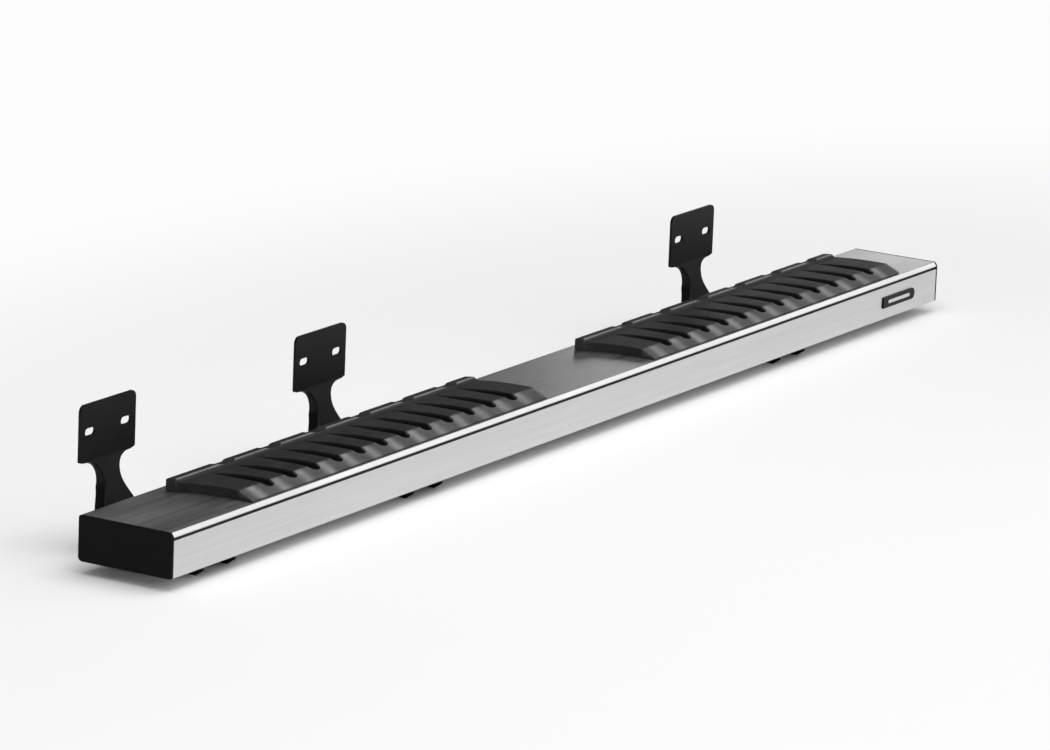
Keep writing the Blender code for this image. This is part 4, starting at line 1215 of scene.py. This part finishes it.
def arm_section(point, heading, half, inside, depth):
    """One cross section of the pressed channel: a web with rounded folds and two flanges turned back."""
    into = (math.sin(heading), -math.cos(heading))
    # A flange that leans towards the truck stops at the mount plane
    if into[0] > FLANGE_LEAN:
        depth = min(depth, (mount_plane() - point[0]) / into[0])
    depth = max(depth, ARM_SHEET)
    radius = min(ARM_FOLD_RADIUS, depth - ARM_SHEET)
    fold = [(half - radius * (1 - math.sin(turn)), radius * (1 - math.cos(turn)))
            for turn in quarter_turns(EDGE_ROWS)]
    side = [*fold, (half, depth), (inside, depth), (inside, ARM_SHEET)]
    outline = side + [(-width, down) for width, down in reversed(side)]
    return [(width, point[0] + down * into[0], point[1] + down * into[1]) for width, down in outline]


def build_arm(node, place):
    """A pressed arm: foot under the board, waist behind it and a slotted plate at the top."""
    slots = bmesh.new()
    plane = mount_plane()
    slot_height = top_bend(1.0)[0][1] + PLATE_HEIGHT / 2
    for side in (-1, 1):
        slot = obround((side * PLATE_SLOT_SPACING / 2, slot_height), PLATE_SLOT_LENGTH, PLATE_SLOT_HEIGHT)
        prism(slot, [], plane - 2 * ARM_SHEET, plane + ARM_SHEET, along_y, slots)
        slot = obround((side * SLOT_SPACING / 2, 0.0), FOOT_HOLE_LENGTH, 2 * BOLT_HOLE_RADIUS)
        hole = [(b, a) for a, b in slot]
        prism(hole, [], ARM_FLANGE - 2 * ARM_SHEET, ARM_FLANGE + ARM_SHEET, along_z, slots)
    bm = loft([arm_section(*station) for station in arm_stations()])
    add_piece(node, bm, place, slots, edge=ARM_CUT_EDGE)


# Fasteners under one arm, each about its own axis


def washer_top():
    """The height of the washers' upper faces, under the foot."""
    return ARM_FLANGE - ARM_SHEET - SEAT_GAP


def nut_top():
    """The height of the nuts' upper faces, under the washers."""
    return washer_top() - WASHER_THICKNESS - SEAT_GAP


def bolt_head_ring(height, trim):
    """The hammer head seen from above: a rectangle with clipped corners, across the slot."""
    a, b = BOLT_HEAD_WIDTH / 2 - trim, BOLT_HEAD_LENGTH / 2 - trim
    clip = BOLT_HEAD_WIDTH / 4
    corners = [(a, clip - b), (a, b - clip), (a - clip, b), (clip - a, b),
               (-a, b - clip), (-a, clip - b), (clip - a, -b), (a - clip, -b)]
    shares = [k / HEAD_SIDE_STEPS for k in range(HEAD_SIDE_STEPS)]
    return [(x + (after_x - x) * share, y + (after_y - y) * share, height)
            for (x, y), (after_x, after_y) in zip(corners, corners[1:] + corners[:1]) for share in shares]


def thread_ring(height, depth):
    """A ring of the screw thread: its radius swings once round between crest and root."""
    phases = [(height / BOLT_PITCH - k / ROUND_SIDES) % 1.0 for k in range(ROUND_SIDES)]
    return ring_of([BOLT_RADIUS - depth * (1 - abs(2 * phase - 1)) for phase in phases], height)


def build_bolt(node, place):
    """A hammer head bolt with a real thread, its head in the slot of the board."""
    seat = board_low.z + SLOT_LIP + SEAT_GAP
    tip = nut_top() - NUT_HEIGHT - BOLT_PAST_NUT
    threaded = seat - tip - BOLT_END_CHAMFER - BOLT_RADIUS
    steps = int(threaded / BOLT_PITCH * THREAD_STEPS)
    sections = [circle(BOLT_RADIUS - BOLT_END_CHAMFER, tip)]
    for k in range(steps + 1):
        height = tip + BOLT_END_CHAMFER + threaded * k / steps
        fade = min(1.0, k / THREAD_STEPS, (steps - k) / THREAD_STEPS)
        sections.append(thread_ring(height, BOLT_THREAD_DEPTH * fade))
    sections.append(circle(BOLT_RADIUS, seat))
    bm = loft(sections)
    top = seat + BOLT_HEAD_HEIGHT
    head = [bolt_head_ring(seat + down, into) for into, down in reversed(quarter(BOLT_HEAD_EDGE))]
    # The upper edge of the head is rounded twice as wide
    head += [bolt_head_ring(top - down * 2, into * 2) for into, down in quarter(BOLT_HEAD_EDGE)]
    loft(head, bm)
    add_piece(node, bm, place, sharp=35)


def build_washer(node, place):
    """A flat washer with rounded edges."""
    bore = BOLT_RADIUS + SEAT_GAP
    top, bottom = washer_top(), washer_top() - WASHER_THICKNESS
    edge = quarter(WASHER_EDGE, WASHER_EDGE_ROWS)
    profile = [(WASHER_RADIUS - into, bottom + down) for into, down in reversed(edge)]
    profile += [(WASHER_RADIUS - into, top - down) for into, down in edge]
    profile += [(bore + into, top - down) for into, down in reversed(edge)]
    profile += [(bore + into, bottom + down) for into, down in edge]
    bm = loft([circle(radius, height) for radius, height in profile], ring=True)
    add_piece(node, bm, place, sharp=50)


def hex_ring(height, limit):
    """A hexagon whose corners are turned off at a radius."""
    angles = [2 * math.pi * k / ROUND_SIDES for k in range(ROUND_SIDES)]
    flats = [NUT_ACROSS_FLATS / 2 / math.cos(angle % (math.pi / 3) - math.pi / 6) for angle in angles]
    return ring_of([min(flat, limit) for flat in flats], height)


def build_nut(node, place):
    """A hexagon nut with turned corners and a sloping flange against the washer."""
    bore = BOLT_RADIUS + SEAT_GAP
    top, bottom = nut_top(), nut_top() - NUT_HEIGHT
    corner = NUT_ACROSS_FLATS / math.sqrt(3)
    face = NUT_ACROSS_FLATS / 2 - NUT_CHAMFER / 2
    sections = [circle(bore, bottom + NUT_CHAMFER), circle(bore + NUT_CHAMFER / 2, bottom)]
    for k in range(EDGE_ROWS + 1):
        share = k / EDGE_ROWS
        sections.append(hex_ring(bottom + NUT_CHAMFER * share, face + (corner - face) * share))
    sections += [hex_ring(top - NUT_FLANGE_HEIGHT, corner),
                 circle(NUT_FLANGE_RADIUS - NUT_CHAMFER / 4, top - NUT_FLANGE_HEIGHT / 2),
                 circle(NUT_FLANGE_RADIUS, top - NUT_FLANGE_HEIGHT / 3),
                 circle(NUT_FLANGE_RADIUS, top),
                 circle(bore, top)]
    add_piece(node, loft(sections, ring=True), place, sharp=28)


def build_step():
    """All pieces, from the board to the fasteners of the last arm."""
    build_board()
    for name, end in (("front", -1), ("rear", 1)):
        build_cap("end_cap_" + name, end)
        for number, (x, y) in enumerate(cap_screw_places(end), 1):
            build_cap_screw(f"cap_screw_{name}_{number}", x, y)
    for number, node in enumerate(("tread_pad_front", "tread_pad_rear")):
        build_pad(node, number)
    build_badge()
    for name in ("front", "middle", "rear"):
        low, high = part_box("arm_" + name)
        x = (low[0] + high[0]) / 2
        build_arm("arm_" + name, Vector((x, BOARD_MIDDLE, 0.0)))
        for side, y in (("outboard", -SLOT_SPACING / 2), ("inboard", SLOT_SPACING / 2)):
            place = Vector((x, BOARD_MIDDLE + y, 0.0))
            build_bolt(f"slot_bolt_{name}_{side}", place)
            build_washer(f"washer_{name}_{side}", place)
            build_nut(f"flange_nut_{name}_{side}", place)


make_camera()
make_world()
make_floor()
for name, (place, aim, size, radiance) in SOFTBOXES.items():
    add_softbox(name, place, aim, size, radiance)
build_step()
bpy.context.scene.view_settings.view_transform = "Standard"
